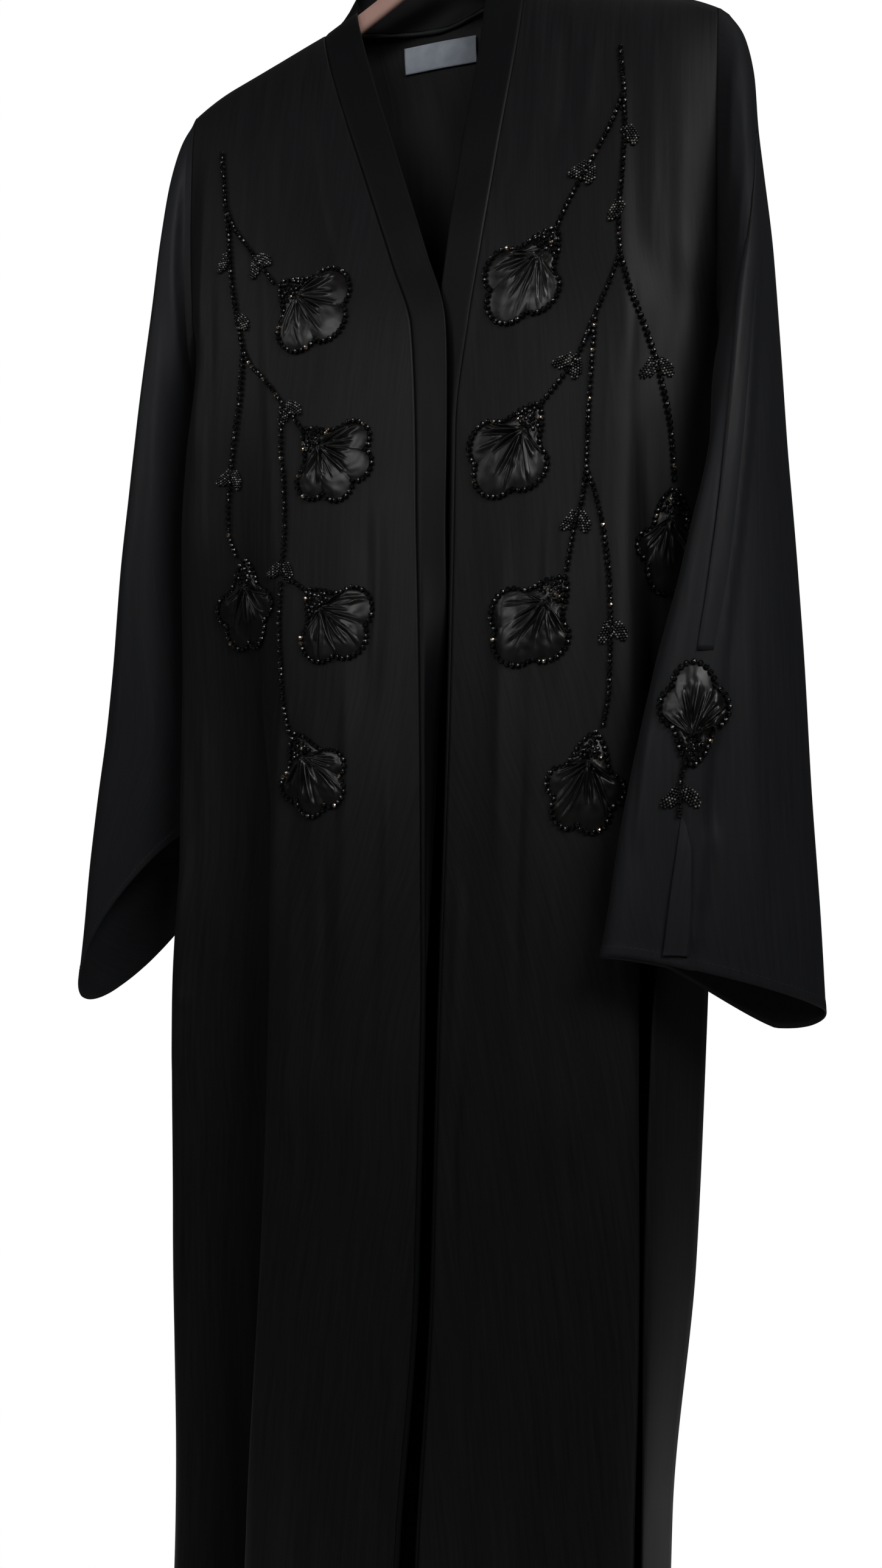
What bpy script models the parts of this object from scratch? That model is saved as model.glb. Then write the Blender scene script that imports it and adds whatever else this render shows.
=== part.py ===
# An open-front abaya hanging on a plain clothes hanger, built at real size.
#
# Every piece of cloth is a closed wall with its true hanging form. The frame
# has its origin at the inner top of the hanger's hook, +X is the wearer's
# left, the fronts face -Y, +Z is up, and lengths are in metres.

import math
from functools import partial

import bmesh
import bpy
import numpy as np
from mathutils import Vector
from mathutils.bvhtree import BVHTree

MM = 0.001

# Driving sizes
WALL = 1.6 * MM
SEAM_GAP = 0.3 * MM
HALF_GAP = SEAM_GAP / 2
TOP_LEVEL = -0.119
UNDERARM_LEVEL = -0.366
UNDERARM_RISE = 14 * MM
SHOULDER_TIP_START = 0.170
SHOULDER_TIP_REACH = 0.030
SHOULDER_TIP_DROP = 4 * MM
CREST_ACROSS = 0.22
CREST_FORWARD = 0.60
BAND_TURN_WIDTH = 0.2
NECK_BAND_WIDTH = 32 * MM
NECK_RISE = 0.5
NECK_BLEND = 60 * MM
NECK_BAND_LEAN = math.radians(84)
NECK_DEPTH = 31 * MM
NECK_FADE = 0.08
APPLIQUE_CLEARANCE = 0.8 * MM
APPLIQUE_THICKNESS = 2.2 * MM

# One row for each level of a front panel. The level is the height where the
# panel meets its neck band; towards the shoulder the rows tilt with the seam.
# The columns run from the side seam to the neck band: the side seam, the crest
# of the side strip, the two feet of the deep fold, the lip of that fold, the
# middle of the front and the seam of the band, each as x and y.
FRONT_STATIONS = ("side", "strip", "outer_foot", "inner_foot", "lip", "middle", "band_seam")
RIGHT_FRONT_ROWS = (
    (-0.1190, -.2040, -HALF_GAP, -.186, -HALF_GAP, -.170, -HALF_GAP, -.156, -HALF_GAP,
     -.142, -HALF_GAP, -.118, -HALF_GAP, -.0955, -HALF_GAP),
    (-0.1235, -.2040, -.0060, -.186, -.0060, -.170, -.0060, -.156, -.0060,
     -.1420, -.0060, -.118, -.0060, -.0942, -.0060),
    (-0.1650, -.2040, -.0120, -.187, -.0170, -.171, -.0190, -.156, -.0200,
     -.1410, -.0210, -.112, -.0215, -.0807, -.0208),
    (-0.2500, -.2040, -.0140, -.188, -.0260, -.172, -.0310, -.156, -.0330,
     -.1380, -.0350, -.095, -.0370, -.0490, -.0365),
    (-0.3200, -.2040, -.0110, -.190, -.0300, -.174, -.0380, -.155, -.0410,
     -.1330, -.0440, -.080, -.0490, -.0233, -.0462),
    (-0.3660, -.2040, -HALF_GAP, -.192, -.0260, -.176, -.0400, -.155, -.0440,
     -.1300, -.0490, -.070, -.0550, -.0075, -.0512),
    (-0.4400, -.2095, -.0030, -.196, -.0340, -.177, -.0440, -.154, -.0460,
     -.1240, -.0540, -.065, -.0610, -.0024, -.0560),
    (-0.5000, -.2130, -.0050, -.198, -.0360, -.176, -.0440, -.152, -.0460,
     -.1190, -.0580, -.062, -.0650, -.0004, -.0600),
    (-0.6000, -.2125, -.0080, -.197, -.0350, -.168, -.0380, -.138, -.0420,
     -.1080, -.0660, -.055, -.0730, .0042, -.0670),
    (-0.7400, -.2130, -.0100, -.197, -.0370, -.158, -.0300, -.128, -.0260,
     -.1025, -.0760, -.050, -.0830, .0088, -.0762),
    (-0.8600, -.2215, -.0100, -.199, -.0410, -.157, -.0300, -.121, -.0190,
     -.1015, -.0835, -.049, -.0910, .0116, -.0843),
    (-1.0200, -.2215, -.0100, -.198, -.0430, -.155, -.0300, -.119, -.0180,
     -.1030, -.0945, -.049, -.1010, .0114, -.0957),
    (-1.2000, -.2175, -.0100, -.195, -.0450, -.152, -.0290, -.124, -.0150,
     -.1075, -.1065, -.052, -.1120, .0018, -.1070),
    (-1.5250, -.2210, -.0100, -.197, -.0480, -.155, -.0300, -.128, -.0140,
     -.1130, -.1170, -.056, -.1220, -.0080, -.1150),
)
LEFT_FRONT_ROWS = (
    (-0.1190, .2000, -HALF_GAP, .184, -HALF_GAP, .170, -HALF_GAP, .158, -HALF_GAP,
     .145, -HALF_GAP, .105, -HALF_GAP, .0665, -HALF_GAP),
    (-0.1235, .2000, -.0060, .184, -.0060, .170, -.0060, .158, -.0060,
     .1450, -.0060, .105, -.0060, .0660, -.0060),
    (-0.1650, .2000, -.0100, .185, -.0150, .172, -.0180, .160, -.0195,
     .1460, -.0205, .100, -.0215, .0630, -.0205),
    (-0.2500, .2000, -.0120, .186, -.0220, .175, -.0270, .163, -.0290,
     .1490, -.0310, .098, -.0360, .0517, -.0360),
    (-0.3200, .2000, -.0100, .187, -.0240, .177, -.0300, .166, -.0330,
     .1520, -.0370, .096, -.0450, .0415, -.0450),
    (-0.3660, .2000, -HALF_GAP, .189, -.0200, .178, -.0280, .168, -.0320,
     .1540, -.0400, .094, -.0510, .0340, -.0480),
    (-0.4400, .2015, .0020, .190, -.0200, .174, -.0330, .159, -.0400,
     .1500, -.0455, .090, -.0570, .0258, -.0510),
    (-0.5000, .2015, .0040, .190, -.0200, .173, -.0330, .158, -.0400,
     .1500, -.0490, .090, -.0620, .0264, -.0555),
    (-0.5600, .2005, .0050, .188, -.0200, .171, -.0300, .158, -.0360,
     .1520, -.0530, .090, -.0665, .0268, -.0600),
    (-0.6400, .1980, .0050, .184, -.0260, .168, -.0220, .157, -.0230,
     .1550, -.0580, .090, -.0730, .0270, -.0665),
    (-0.7400, .1945, .0040, .174, -.0480, .163, -.0240, .152, -.0240,
     .1560, -.0630, .090, -.0810, .0262, -.0735),
    (-0.8600, .1905, .0030, .1650, -.0640, .160, -.0280, .149, -.0270,
     .1570, -.0700, .090, -.0890, .0252, -.0820),
    (-1.0200, .1830, .0050, .1630, -.0755, .157, -.0320, .147, -.0300,
     .1585, -.0790, .089, -.0990, .0248, -.0930),
    (-1.2000, .1660, .0080, .1625, -.0850, .156, -.0380, .145, -.0340,
     .1580, -.0890, .085, -.1090, .0180, -.1040),
    (-1.5250, .1600, .0080, .1588, -.0930, .152, -.0400, .141, -.0360,
     .1540, -.0980, .080, -.1180, .0100, -.1120),
)

# The back panel, from the wearer's right to the left, between the side seams:
# the wide fold, the right neck point, the centre, the left neck point and the
# wide fold on the left, each as x and y at each level.
BACK_STATIONS = ("right_fold", "right_neck", "centre", "left_neck", "left_fold")
BACK_ROWS = (
    (-0.1190, -.150, HALF_GAP, -.0955, HALF_GAP, -.0145, .031, .0665, HALF_GAP, .130, HALF_GAP),
    (-0.1235, -.150, .0060, -.0955, .0075, -.0145, .032, .0665, .0075, .130, .0060),
    (-0.1650, -.150, .0160, -.0955, .0220, -.0145, .037, .0665, .0210, .130, .0160),
    (-0.2500, -.150, .0240, -.0950, .0340, -.0145, .043, .0660, .0330, .130, .0230),
    (-0.3660, -.150, .0280, -.0950, .0400, -.0150, .046, .0660, .0400, .135, .0300),
    (-0.5000, -.165, .0220, -.1050, .0420, -.0150, .048, .0750, .0460, .145, .0360),
    (-0.7400, -.165, .0200, -.1000, .0460, -.0150, .046, .0800, .0520, .145, .0360),
    (-1.0200, -.165, .0220, -.0950, .0540, -.0150, .044, .0750, .0560, .140, .0340),
    (-1.5250, -.165, .0240, -.0950, .0620, -.0200, .044, .0650, .0600, .125, .0360),
)
# Soft hanging folds of the back
BACK_FOLD_COLUMNS = ("place", "half_width", "depth", "starts")
BACK_FOLD_GROWTH = 0.35
BACK_FOLDS = (
    (-.130, .022, .010, -.55),
    (-.050, .020, .009, -.60),
    (.035, .022, .011, -.50),
    (.105, .020, .012, -.45),
)
# The neckline of the back panel: x and height
BACK_NECKLINE = ((-.0955, -.1190), (-.0740, -.1110), (-.0145, -.1130), (.0300, -.1050), (.0665, -.1061))

# How wide each front band is and how far it turns inwards, in degrees
BAND_COLUMNS = ("level", "width", "turn")
RIGHT_BAND_ROWS = (
    (-0.119, .030, 0),
    (-0.250, .028, 0),
    (-0.360, .0255, 3),
    (-0.440, .0225, 6),
    (-0.540, .0205, 16),
    (-0.650, .022, 74),
    (-0.775, .024, 96),
    (-0.860, .024, 110),
    (-1.525, .024, 110),
)
LEFT_BAND_ROWS = (
    (-0.119, .030, 0),
    (-0.250, .028, 2),
    (-0.360, .0255, 10),
    (-0.440, .024, 42),
    (-0.540, .024, 70),
    (-0.650, .024, 88),
    (-1.525, .024, 92),
)

# Rings of a sleeve below the armhole. The outer point of a ring lies on the
# fold over the arm, the inner point on the underarm fold; front and back are
# how far the cloth swells from the line between them, and the lifts raise the
# front or the back of the ring.
RING_COLUMNS = (
    "outer_x", "outer_y", "outer_z", "inner_x", "inner_y", "inner_z",
    "front", "back", "front_lift", "back_lift",
)
RIGHT_SLEEVE_ROWS = (
    (-.2085, .000, -.1690, -.2105, .004, -.375, .018, .018, 0, 0),
    (-.2145, -.002, -.1810, -.2130, .010, -.395, .024, .020, 0, 0),
    (-.2205, -.004, -.2050, -.2150, .018, -.420, .030, .023, 0, 0),
    (-.2270, -.007, -.2500, -.2160, .025, -.450, .033, .025, 0, 0),
    (-.2355, -.010, -.3150, -.2165, .031, -.485, .036, .026, 0, 0),
    (-.2460, -.012, -.4000, -.2160, .036, -.530, .038, .028, 0, 0),
    (-.2590, -.012, -.5000, -.2145, .040, -.580, .038, .028, 0, 0),
    (-.2710, -.012, -.6000, -.2120, .043, -.630, .036, .028, 0, 0),
    (-.2840, -.012, -.7000, -.2090, .045, -.672, .034, .028, .004, 0),
    (-.2965, -.012, -.7900, -.2060, .046, -.705, .032, .028, .018, -.010),
    (-.3055, -.012, -.8570, -.2030, .047, -.722, .030, .028, .030, -.024),
)
LEFT_SLEEVE_ROWS = (
    (.2065, .000, -.1600, .2065, -.004, -.375, .018, .018, 0, 0),
    (.2164, -.001, -.1763, .2085, -.009, -.393, .024, .020, 0, 0),
    (.2235, -.004, -.2050, .2095, -.016, -.412, .029, .022, 0, 0),
    (.2280, -.010, -.2500, .2080, -.028, -.438, .032, .024, 0, 0),
    (.2350, -.018, -.3150, .2030, -.044, -.478, .034, .024, 0, 0),
    (.2420, -.025, -.4000, .1895, -.062, -.530, .034, .024, 0, 0),
    (.2505, -.030, -.5000, .1760, -.076, -.590, .032, .024, 0, 0),
    (.2585, -.034, -.6000, .1630, -.088, -.650, .030, .026, 0, 0),
    (.2645, -.036, -.7000, .1525, -.099, -.715, .028, .026, 0, 0),
    (.2695, -.036, -.7750, .1465, -.105, -.765, .028, .028, .004, -.010),
    (.2725, -.034, -.8340, .1420, -.108, -.797, .028, .030, .0115, -.0265),
)
# The long pleat on the front of the left sleeve: how far across the sleeve its
# two edges lie, from the outer fold, and how high it stands, at each ring
PLEAT_COLUMNS = ("ring", "far_edge", "near_edge", "height")
LEFT_SLEEVE_PLEAT = (
    (0, .02, .00, 0.0),
    (4, .12, .02, .0010),
    (6, .42, .22, .0025),
    (8, .66, .46, .0015),
    (9, .69, .50, .0022),
    (11, .74, .58, .0040),
)

# Applique flowers. The heading is how the flower points from its calyx, in
# degrees from straight down towards +X.
FLOWER_COLUMNS = ("name", "panel", "calyx_x", "calyx_z", "heading", "length", "width", "lobes")
FLOWERS = (
    ("flower_right_1", "right", -.107, -.324, 49, .064, .068, 3),
    ("flower_right_2", "right", -.083, -.436, 44, .061, .066, 4),
    ("flower_right_3", "right", -.137, -.525, 1, .067, .056, 4),
    ("flower_right_4", "right", -.0765, -.552, 42, .060, .062, 3),
    ("flower_right_5", "right", -.084, -.654, 27, .062, .052, 4),
    ("flower_left_1", "left", .0950, -.311, -35, .073, .058, 3),
    ("flower_left_2", "left", .0860, -.433, -34, .070, .062, 3),
    ("flower_left_3", "left", .1060, -.552, -38, .069, .060, 3),
    ("flower_left_4", "left", .1740, -.492, -6, .070, .036, 3),
    ("flower_left_5", "left", .1290, -.656, -10, .068, .050, 4),
)
SLEEVE_FLOWER = ("flower_left_sleeve", "sleeve", .1975, -.6730, 180, .064, .040, 3)
FLOWER_CENTRE = 0.46
FLOWER_RINGS = (0.42, 0.74, 1.0)
FLOWER_EDGE_POINTS = 30
# The lobes of a flower lie on the far side, within this angle of its axis
LOBES_REACH = math.radians(112)
LOBE_DEPTH = 0.22
CALYX_PINCH = 0.24

# The hanger
ARM_SPAN = 0.196
ARM_HEIGHT = 15 * MM
ARM_THICKNESS = 7 * MM
ARM_CLEARANCE = 2.4 * MM
# The hanger's top edge between the neck points: x and height
ARM_NECK_RISE = (
    (-.0687, -.1085), (-.050, -.0985), (-.030, -.0875), (-.012, -.0795), (0, -.0770),
    (.010, -.0785), (.025, -.0870), (.0397, -.0957),
)
HOOK_WIRE = 3.6 * MM
HOOK_RADIUS = 19 * MM

# The plain label inside the back of the neck
LABEL_CENTRE_X = -0.0150
LABEL_TOP_Z = -0.1220
LABEL_WIDTH = 58 * MM
LABEL_HEIGHT = 19 * MM
LABEL_THICKNESS = 0.8 * MM

# Samples of each wall, kept low because the looks come later
FRONT_SPAN_STEPS = (2, 2, 3, 3, 2, 3, 3)
FRONT_LEVELS = (
    -.1190, -.1213, -.1235, -.1400, -.1650, -.2100, -.2500, -.2900, -.3300, -.3560,
    -.3660, -.4030, -.4400, -.5000, -.5500, -.6000, -.6500, -.6950, -.7400, -.8000,
    -.8600, -.9400, -1.0200, -1.1100, -1.2000, -1.3100, -1.4200, -1.5250,
)
BACK_SPAN_STEPS = (4, 3, 6, 6, 4, 4)
SLEEVE_POINTS_ROUND = 26
SLEEVE_RINGS = (0, 1, 2, 3, 4, 5, 6, 7, 8, 9, 10, 11)
BAND_ACROSS = (0, 0.1, 0.22, 0.55, 1)


def smooth(keys, values, at):
    """Values at the given keys on a curve through every row that never overshoots."""
    keys = np.asarray(keys, dtype=float)
    values = np.asarray(values, dtype=float)
    at = np.asarray(at, dtype=float)
    step = np.diff(keys)[:, None]
    slope = np.diff(values, axis=0) / step
    product = slope[:-1] * slope[1:]
    total = slope[:-1] + slope[1:]
    total = np.where(np.abs(total) < 1e-12, 1.0, total)
    tangent = np.zeros_like(values)
    tangent[0] = slope[0]
    tangent[-1] = slope[-1]
    tangent[1:-1] = np.where(product > 0, 2 * product / total, 0)
    place = np.clip(np.searchsorted(keys, at, side="right") - 1, 0, len(keys) - 2)
    width = (keys[place + 1] - keys[place])[:, None]
    t = (at[:, None] - keys[place][:, None]) / width
    start = values[place]
    end = values[place + 1]
    start_bend = (2 * t**3 - 3 * t**2 + 1) * start + (t**3 - 2 * t**2 + t) * width * tangent[place]
    end_bend = (3 * t**2 - 2 * t**3) * end + (t**3 - t**2) * width * tangent[place + 1]
    return start_bend + end_bend


def soft_step(value, start, end):
    t = np.clip((value - start) / (end - start), 0, 1)
    return t * t * (3 - 2 * t)


def unit(vectors):
    length = np.linalg.norm(vectors, axis=-1, keepdims=True)
    return vectors / np.maximum(length, 1e-12)


class Side:
    """One half of the garment: its shoulder line, front, band and sleeve."""

    def __init__(self, sign, neck_x, neck_z, shoulder_slope, rows, band_rows, sleeve_rows, hem_skew):
        self.sign = sign
        self.neck_x = neck_x
        self.neck_z = neck_z
        self.shoulder_slope = shoulder_slope
        self.rows = np.array(rows)
        self.band_rows = np.array(band_rows, dtype=float)
        self.sleeve_rows = np.array(sleeve_rows, dtype=float)
        self.hem_skew = hem_skew
        self.armhole_x = self.rows[0, 1]


RIGHT = Side(-1, -0.0955, -0.1190, 0.364, RIGHT_FRONT_ROWS, RIGHT_BAND_ROWS, RIGHT_SLEEVE_ROWS, 0)
LEFT = Side(1, 0.0665, -0.1061, 0.331, LEFT_FRONT_ROWS, LEFT_BAND_ROWS, LEFT_SLEEVE_ROWS, 1)


def shoulder_height(side, x):
    """Height of the shoulder seam above x, rounded down at the tip."""
    out = np.maximum(side.sign * (np.asarray(x, dtype=float) - side.neck_x), 0)
    tip = np.maximum(side.sign * np.asarray(x, dtype=float) - SHOULDER_TIP_START, 0) / SHOULDER_TIP_REACH
    return side.neck_z - side.shoulder_slope * out - SHOULDER_TIP_DROP * tip**2


def tilted_height(top, level):
    """Rows lie along the top edge at the top and level from the underarm down."""
    share = (level - UNDERARM_LEVEL) / (TOP_LEVEL - UNDERARM_LEVEL)
    tilted = UNDERARM_LEVEL + share * (top - UNDERARM_LEVEL)
    return np.where(level > UNDERARM_LEVEL, tilted, level)


def front_stations(side, levels):
    """Station points (x, y) of a front at each level, with the crest of the fold added."""
    rows = smooth(-side.rows[:, 0], side.rows[:, 1:], -np.asarray(levels))
    points = rows.reshape(len(rows), -1, 2)
    beyond = FRONT_STATIONS.index("middle")
    lip = points[:, FRONT_STATIONS.index("lip")]
    share = np.array((CREST_ACROSS, CREST_FORWARD))
    crest = lip + share * (points[:, beyond] - lip)
    return np.concatenate((points[:, :beyond], crest[:, None], points[:, beyond:]), axis=1)


def front_surface(side, levels, across):
    """Middle surface of a front: one row for each level, across in station numbers."""
    levels = np.asarray(levels, dtype=float)
    across = np.asarray(across, dtype=float)
    surface = np.zeros((len(levels), len(across), 3))
    for row, stations in enumerate(front_stations(side, levels)):
        gaps = np.linalg.norm(np.diff(stations, axis=0), axis=1)
        keys = np.concatenate(((0,), np.cumsum(gaps)))
        at = np.interp(across, np.arange(len(keys)), keys)
        surface[row, :, :2] = smooth(keys, stations, at)
    top = shoulder_height(side, surface[:, :, 0])
    surface[:, :, 2] = tilted_height(top, levels[:, None])
    return surface


def side_seam(side, levels):
    """Where the back meets the side: the armhole above the underarm, the seam below."""
    rows = smooth(-side.rows[:, 0], side.rows[:, 1:3], -np.asarray(levels))
    above = np.asarray(levels) > UNDERARM_LEVEL
    back_y = np.where(above, -rows[:, 1], rows[:, 1] + SEAM_GAP)
    return np.stack((rows[:, 0], back_y), axis=1)


def back_top(x):
    """Height of the back panel's top edge: two shoulders and the neckline."""
    neck = np.array(BACK_NECKLINE)
    within = np.clip(x, neck[0, 0], neck[-1, 0])
    neckline = smooth(neck[:, 0], neck[:, 1:], within.ravel())[:, 0].reshape(x.shape)
    right = shoulder_height(RIGHT, x)
    left = shoulder_height(LEFT, x)
    return np.where(x < RIGHT.neck_x, right, np.where(x > LEFT.neck_x, left, neckline))


def back_x(stations, across):
    """x across the back; the columns gather at the neck points, where the neckline is steep."""
    x = np.interp(across, np.arange(len(stations)), stations)
    turn = np.clip((across - 2) / 2, 0, 1) * math.pi
    rounded = (stations[2] + stations[4]) / 2 - (stations[4] - stations[2]) / 2 * np.cos(turn)
    return np.where((across > 2) & (across < 4), rounded, x)


def neck_swell(x, level):
    """How much further back the rounded neckline lies than the plain curve."""
    centre = (RIGHT.neck_x + LEFT.neck_x) / 2
    half = (LEFT.neck_x - RIGHT.neck_x) / 2
    aside = np.clip(np.abs(x - centre) / half, 0, 1)
    rounded = NECK_DEPTH * np.sqrt(1 - aside**2)
    plain = NECK_DEPTH * (1 - aside**2 * (3 - 2 * aside))
    fade = 1 - soft_step(TOP_LEVEL - level, 0, NECK_FADE)
    return fade * (rounded - plain)


def back_surface(levels, across):
    """Middle surface of the back panel, across in station numbers."""
    levels = np.asarray(levels, dtype=float)
    across = np.asarray(across, dtype=float)
    rows = np.array(BACK_ROWS)
    inner = smooth(-rows[:, 0], rows[:, 1:], -levels).reshape(len(levels), len(BACK_STATIONS), 2)
    right = side_seam(RIGHT, levels)[:, None]
    left = side_seam(LEFT, levels)[:, None]
    stations = np.concatenate((right, inner, left), axis=1)
    surface = np.zeros((len(levels), len(across), 3))
    for row, points in enumerate(stations):
        x = back_x(points[:, 0], across)
        y = smooth(points[:, 0], points[:, 1:], x)[:, 0]
        y = y + neck_swell(x, levels[row])
        for record in BACK_FOLDS:
            fold = dict(zip(BACK_FOLD_COLUMNS, record))
            grown = soft_step(-levels[row], -fold["starts"], BACK_FOLD_GROWTH - fold["starts"])
            y = y - grown * fold["depth"] * np.exp(-((x - fold["place"]) / fold["half_width"]) ** 2)
        surface[row, :, 0] = x
        surface[row, :, 1] = y
    surface[:, :, 2] = tilted_height(back_top(surface[:, :, 0]), levels[:, None])
    return surface


def surface_normals(surface, outward):
    """Unit normals of a grid of points, turned to the side that outward points to."""
    down = np.gradient(surface, axis=0)
    over = np.gradient(surface, axis=1)
    normals = unit(np.cross(over, down))
    if np.sum(normals * np.asarray(outward)) < 0:
        normals = -normals
    return normals


def front_normals(side, surface):
    normals = surface_normals(surface, (0, -1, 0))
    edge = normals[:, 0]
    edge[:, 0] = 0
    below = surface[:, 0, 2] <= UNDERARM_LEVEL + 1e-6
    edge[below] = (side.sign, 0, 0)
    normals[:, 0] = unit(edge)
    normals[0] = shoulder_normals(side, len(surface[0]))
    return normals


def shoulder_normals(side, count):
    across = np.array((side.sign * side.shoulder_slope, 0, 1.0))
    return np.tile(across / np.linalg.norm(across), (count, 1))


def back_normals(surface):
    normals = surface_normals(surface, (0, 1, 0))
    below = surface[:, 0, 2] <= UNDERARM_LEVEL + 1e-6
    for column, side in ((0, RIGHT), (-1, LEFT)):
        edge = normals[:, column]
        edge[:, 0] = 0
        edge[below] = (side.sign, 0, 0)
        normals[:, column] = unit(edge)
        on_shoulder = side.sign * (surface[0, :, 0] - side.neck_x) >= -1e-6
        normals[0, on_shoulder] = shoulder_normals(side, int(on_shoulder.sum()))
    return normals


def span_fractions(steps):
    """Station numbers from 0 with the given number of samples in each span."""
    values = [0.0]
    for span, count in enumerate(steps):
        values.extend(span + (index + 1) / count for index in range(count))
    return np.array(values)


def material(name, colour, roughness, metallic=0.0):
    made = bpy.data.materials.new(name)
    made.use_nodes = True
    shader = made.node_tree.nodes["Principled BSDF"]
    shader.inputs["Base Color"].default_value = (*colour, 1.0)
    shader.inputs["Roughness"].default_value = roughness
    shader.inputs["Metallic"].default_value = metallic
    made.diffuse_color = (*colour, 1.0)
    return made


def add_object(name, points, faces, finish):
    """A smooth-shaded closed solid from points and faces, with faces turned out."""
    mesh = bpy.data.meshes.new(name)
    mesh.from_pydata([tuple(point) for point in points], [], faces)
    work = bmesh.new()
    work.from_mesh(mesh)
    bmesh.ops.recalc_face_normals(work, faces=work.faces)
    work.to_mesh(mesh)
    work.free()
    mesh.materials.append(finish)
    for polygon in mesh.polygons:
        polygon.use_smooth = True
    made = bpy.data.objects.new(name, mesh)
    bpy.context.scene.collection.objects.link(made)
    return made


def panel_tree(made):
    """A search tree of a built panel, for laying other pieces on it."""
    work = bmesh.new()
    work.from_mesh(made.data)
    tree = BVHTree.FromBMesh(work)
    work.free()
    return tree


def wall_faces(rows, columns, closed_round):
    """Faces of a wall: the outer grid, the inner grid after it, and the rims between."""
    steps = columns if closed_round else columns - 1
    inner = rows * columns
    faces = []
    for row in range(rows - 1):
        for column in range(steps):
            beside = (column + 1) % columns
            a = row * columns + column
            b = row * columns + beside
            c = (row + 1) * columns + beside
            d = (row + 1) * columns + column
            faces.append((a, b, c, d))
            faces.append((inner + d, inner + c, inner + b, inner + a))
    for row in (0, rows - 1):
        for column in range(steps):
            beside = (column + 1) % columns
            a = row * columns + column
            b = row * columns + beside
            faces.append((a, inner + a, inner + b, b))
    if not closed_round:
        for column in (0, columns - 1):
            for row in range(rows - 1):
                a = row * columns + column
                d = (row + 1) * columns + column
                faces.append((a, d, inner + d, inner + a))
    return faces


def add_wall(name, surface, normals, finish, thickness=WALL, closed_round=False):
    rows, columns = surface.shape[:2]
    outer = surface + normals * thickness / 2
    inner = surface - normals * thickness / 2
    points = np.concatenate((outer.reshape(-1, 3), inner.reshape(-1, 3)))
    return add_object(name, points, wall_faces(rows, columns, closed_round), finish)


def ribbon(edge, normals, away, widths, turns, across):
    """A band sewn to an edge: it runs away from the edge and turns inwards by an angle."""
    share = np.linspace(0, 1, 41)
    turned = soft_step(share, 0, BAND_TURN_WIDTH)
    surface = np.zeros((len(edge), len(across), 3))
    band_normals = np.zeros_like(surface)
    for row in range(len(edge)):
        angle = math.radians(turns[row]) * turned
        forward = np.concatenate(((0,), np.cumsum((np.cos(angle[1:]) + np.cos(angle[:-1])) / 2)))
        inward = np.concatenate(((0,), np.cumsum((np.sin(angle[1:]) + np.sin(angle[:-1])) / 2)))
        scale = (widths[row] - SEAM_GAP) / (len(share) - 1)
        forward = np.interp(across, share, forward) * scale + SEAM_GAP
        inward = np.interp(across, share, inward) * scale
        here = np.interp(across, share, angle)
        surface[row] = edge[row] + forward[:, None] * away[row] - inward[:, None] * normals[row]
        band_normals[row] = np.cos(here)[:, None] * normals[row] + np.sin(here)[:, None] * away[row]
    return surface, band_normals


def edge_away(edge, normals, towards):
    """Directions in the cloth, square to its edge, that point to the given side."""
    along = unit(np.gradient(edge, axis=0))
    away = unit(np.cross(along, normals))
    if np.sum(away * np.asarray(towards)) < 0:
        away = -away
    return away


def front_panel(side):
    across = span_fractions(FRONT_SPAN_STEPS)
    surface = front_surface(side, FRONT_LEVELS, across)
    return surface, front_normals(side, surface)


def front_band(side, surface, normals):
    """The neck band of one front, sewn to the panel's inner edge."""
    edge = surface[:, -1]
    edge_normals = normals[:, -1]
    away = edge_away(edge, edge_normals, (-side.sign, 0, 0))
    near_top = 1 - soft_step(TOP_LEVEL - np.array(FRONT_LEVELS), 2 * MM, NECK_BLEND)[:, None]
    away = unit(away * (1 - near_top) + neck_rise(side) * near_top)
    shape = smooth(-side.band_rows[:, 0], side.band_rows[:, 1:], -np.array(FRONT_LEVELS))
    across = np.array(BAND_ACROSS)
    widths = shape[:, BAND_COLUMNS.index("width") - 1]
    turns = shape[:, BAND_COLUMNS.index("turn") - 1]
    return ribbon(edge, edge_normals, away, widths, turns, across)


def neck_rise(side):
    """The way the bands climb towards the neck where they cross the shoulder."""
    slope = np.array((-side.sign, 0, NECK_RISE))
    return slope / np.linalg.norm(slope)


def neck_band(surface, normals):
    """The standing band behind the neck, sewn to the back panel's neckline."""
    top = surface[0]
    at_neck = (top[:, 0] >= RIGHT.neck_x - 1e-6) & (top[:, 0] <= LEFT.neck_x + 1e-6)
    edge = top[at_neck]
    edge_normals = normals[0, at_neck]
    along = unit(np.gradient(edge, axis=0))
    turn = np.linspace(0, math.pi, len(edge))
    start = math.atan(NECK_RISE)
    climb = start + (NECK_BAND_LEAN - start) * np.sin(turn) ** 0.7
    inwards = np.cos(climb) * np.sign(np.cos(turn))
    forward = -np.cos(climb) * np.sin(turn)
    away = unit(np.stack((inwards, forward, np.sin(climb)), axis=1))
    widths = np.full(len(edge), NECK_BAND_WIDTH)
    across = np.linspace(0, 1, 4)
    band, band_normals = ribbon(edge, edge_normals, away, widths, np.zeros(len(edge)), across)
    standing = unit(np.cross(along, away))
    standing[standing[:, 2] + standing[:, 1] < 0] *= -1
    band_normals[:, 1:] = standing[:, None]
    return band, band_normals


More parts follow.
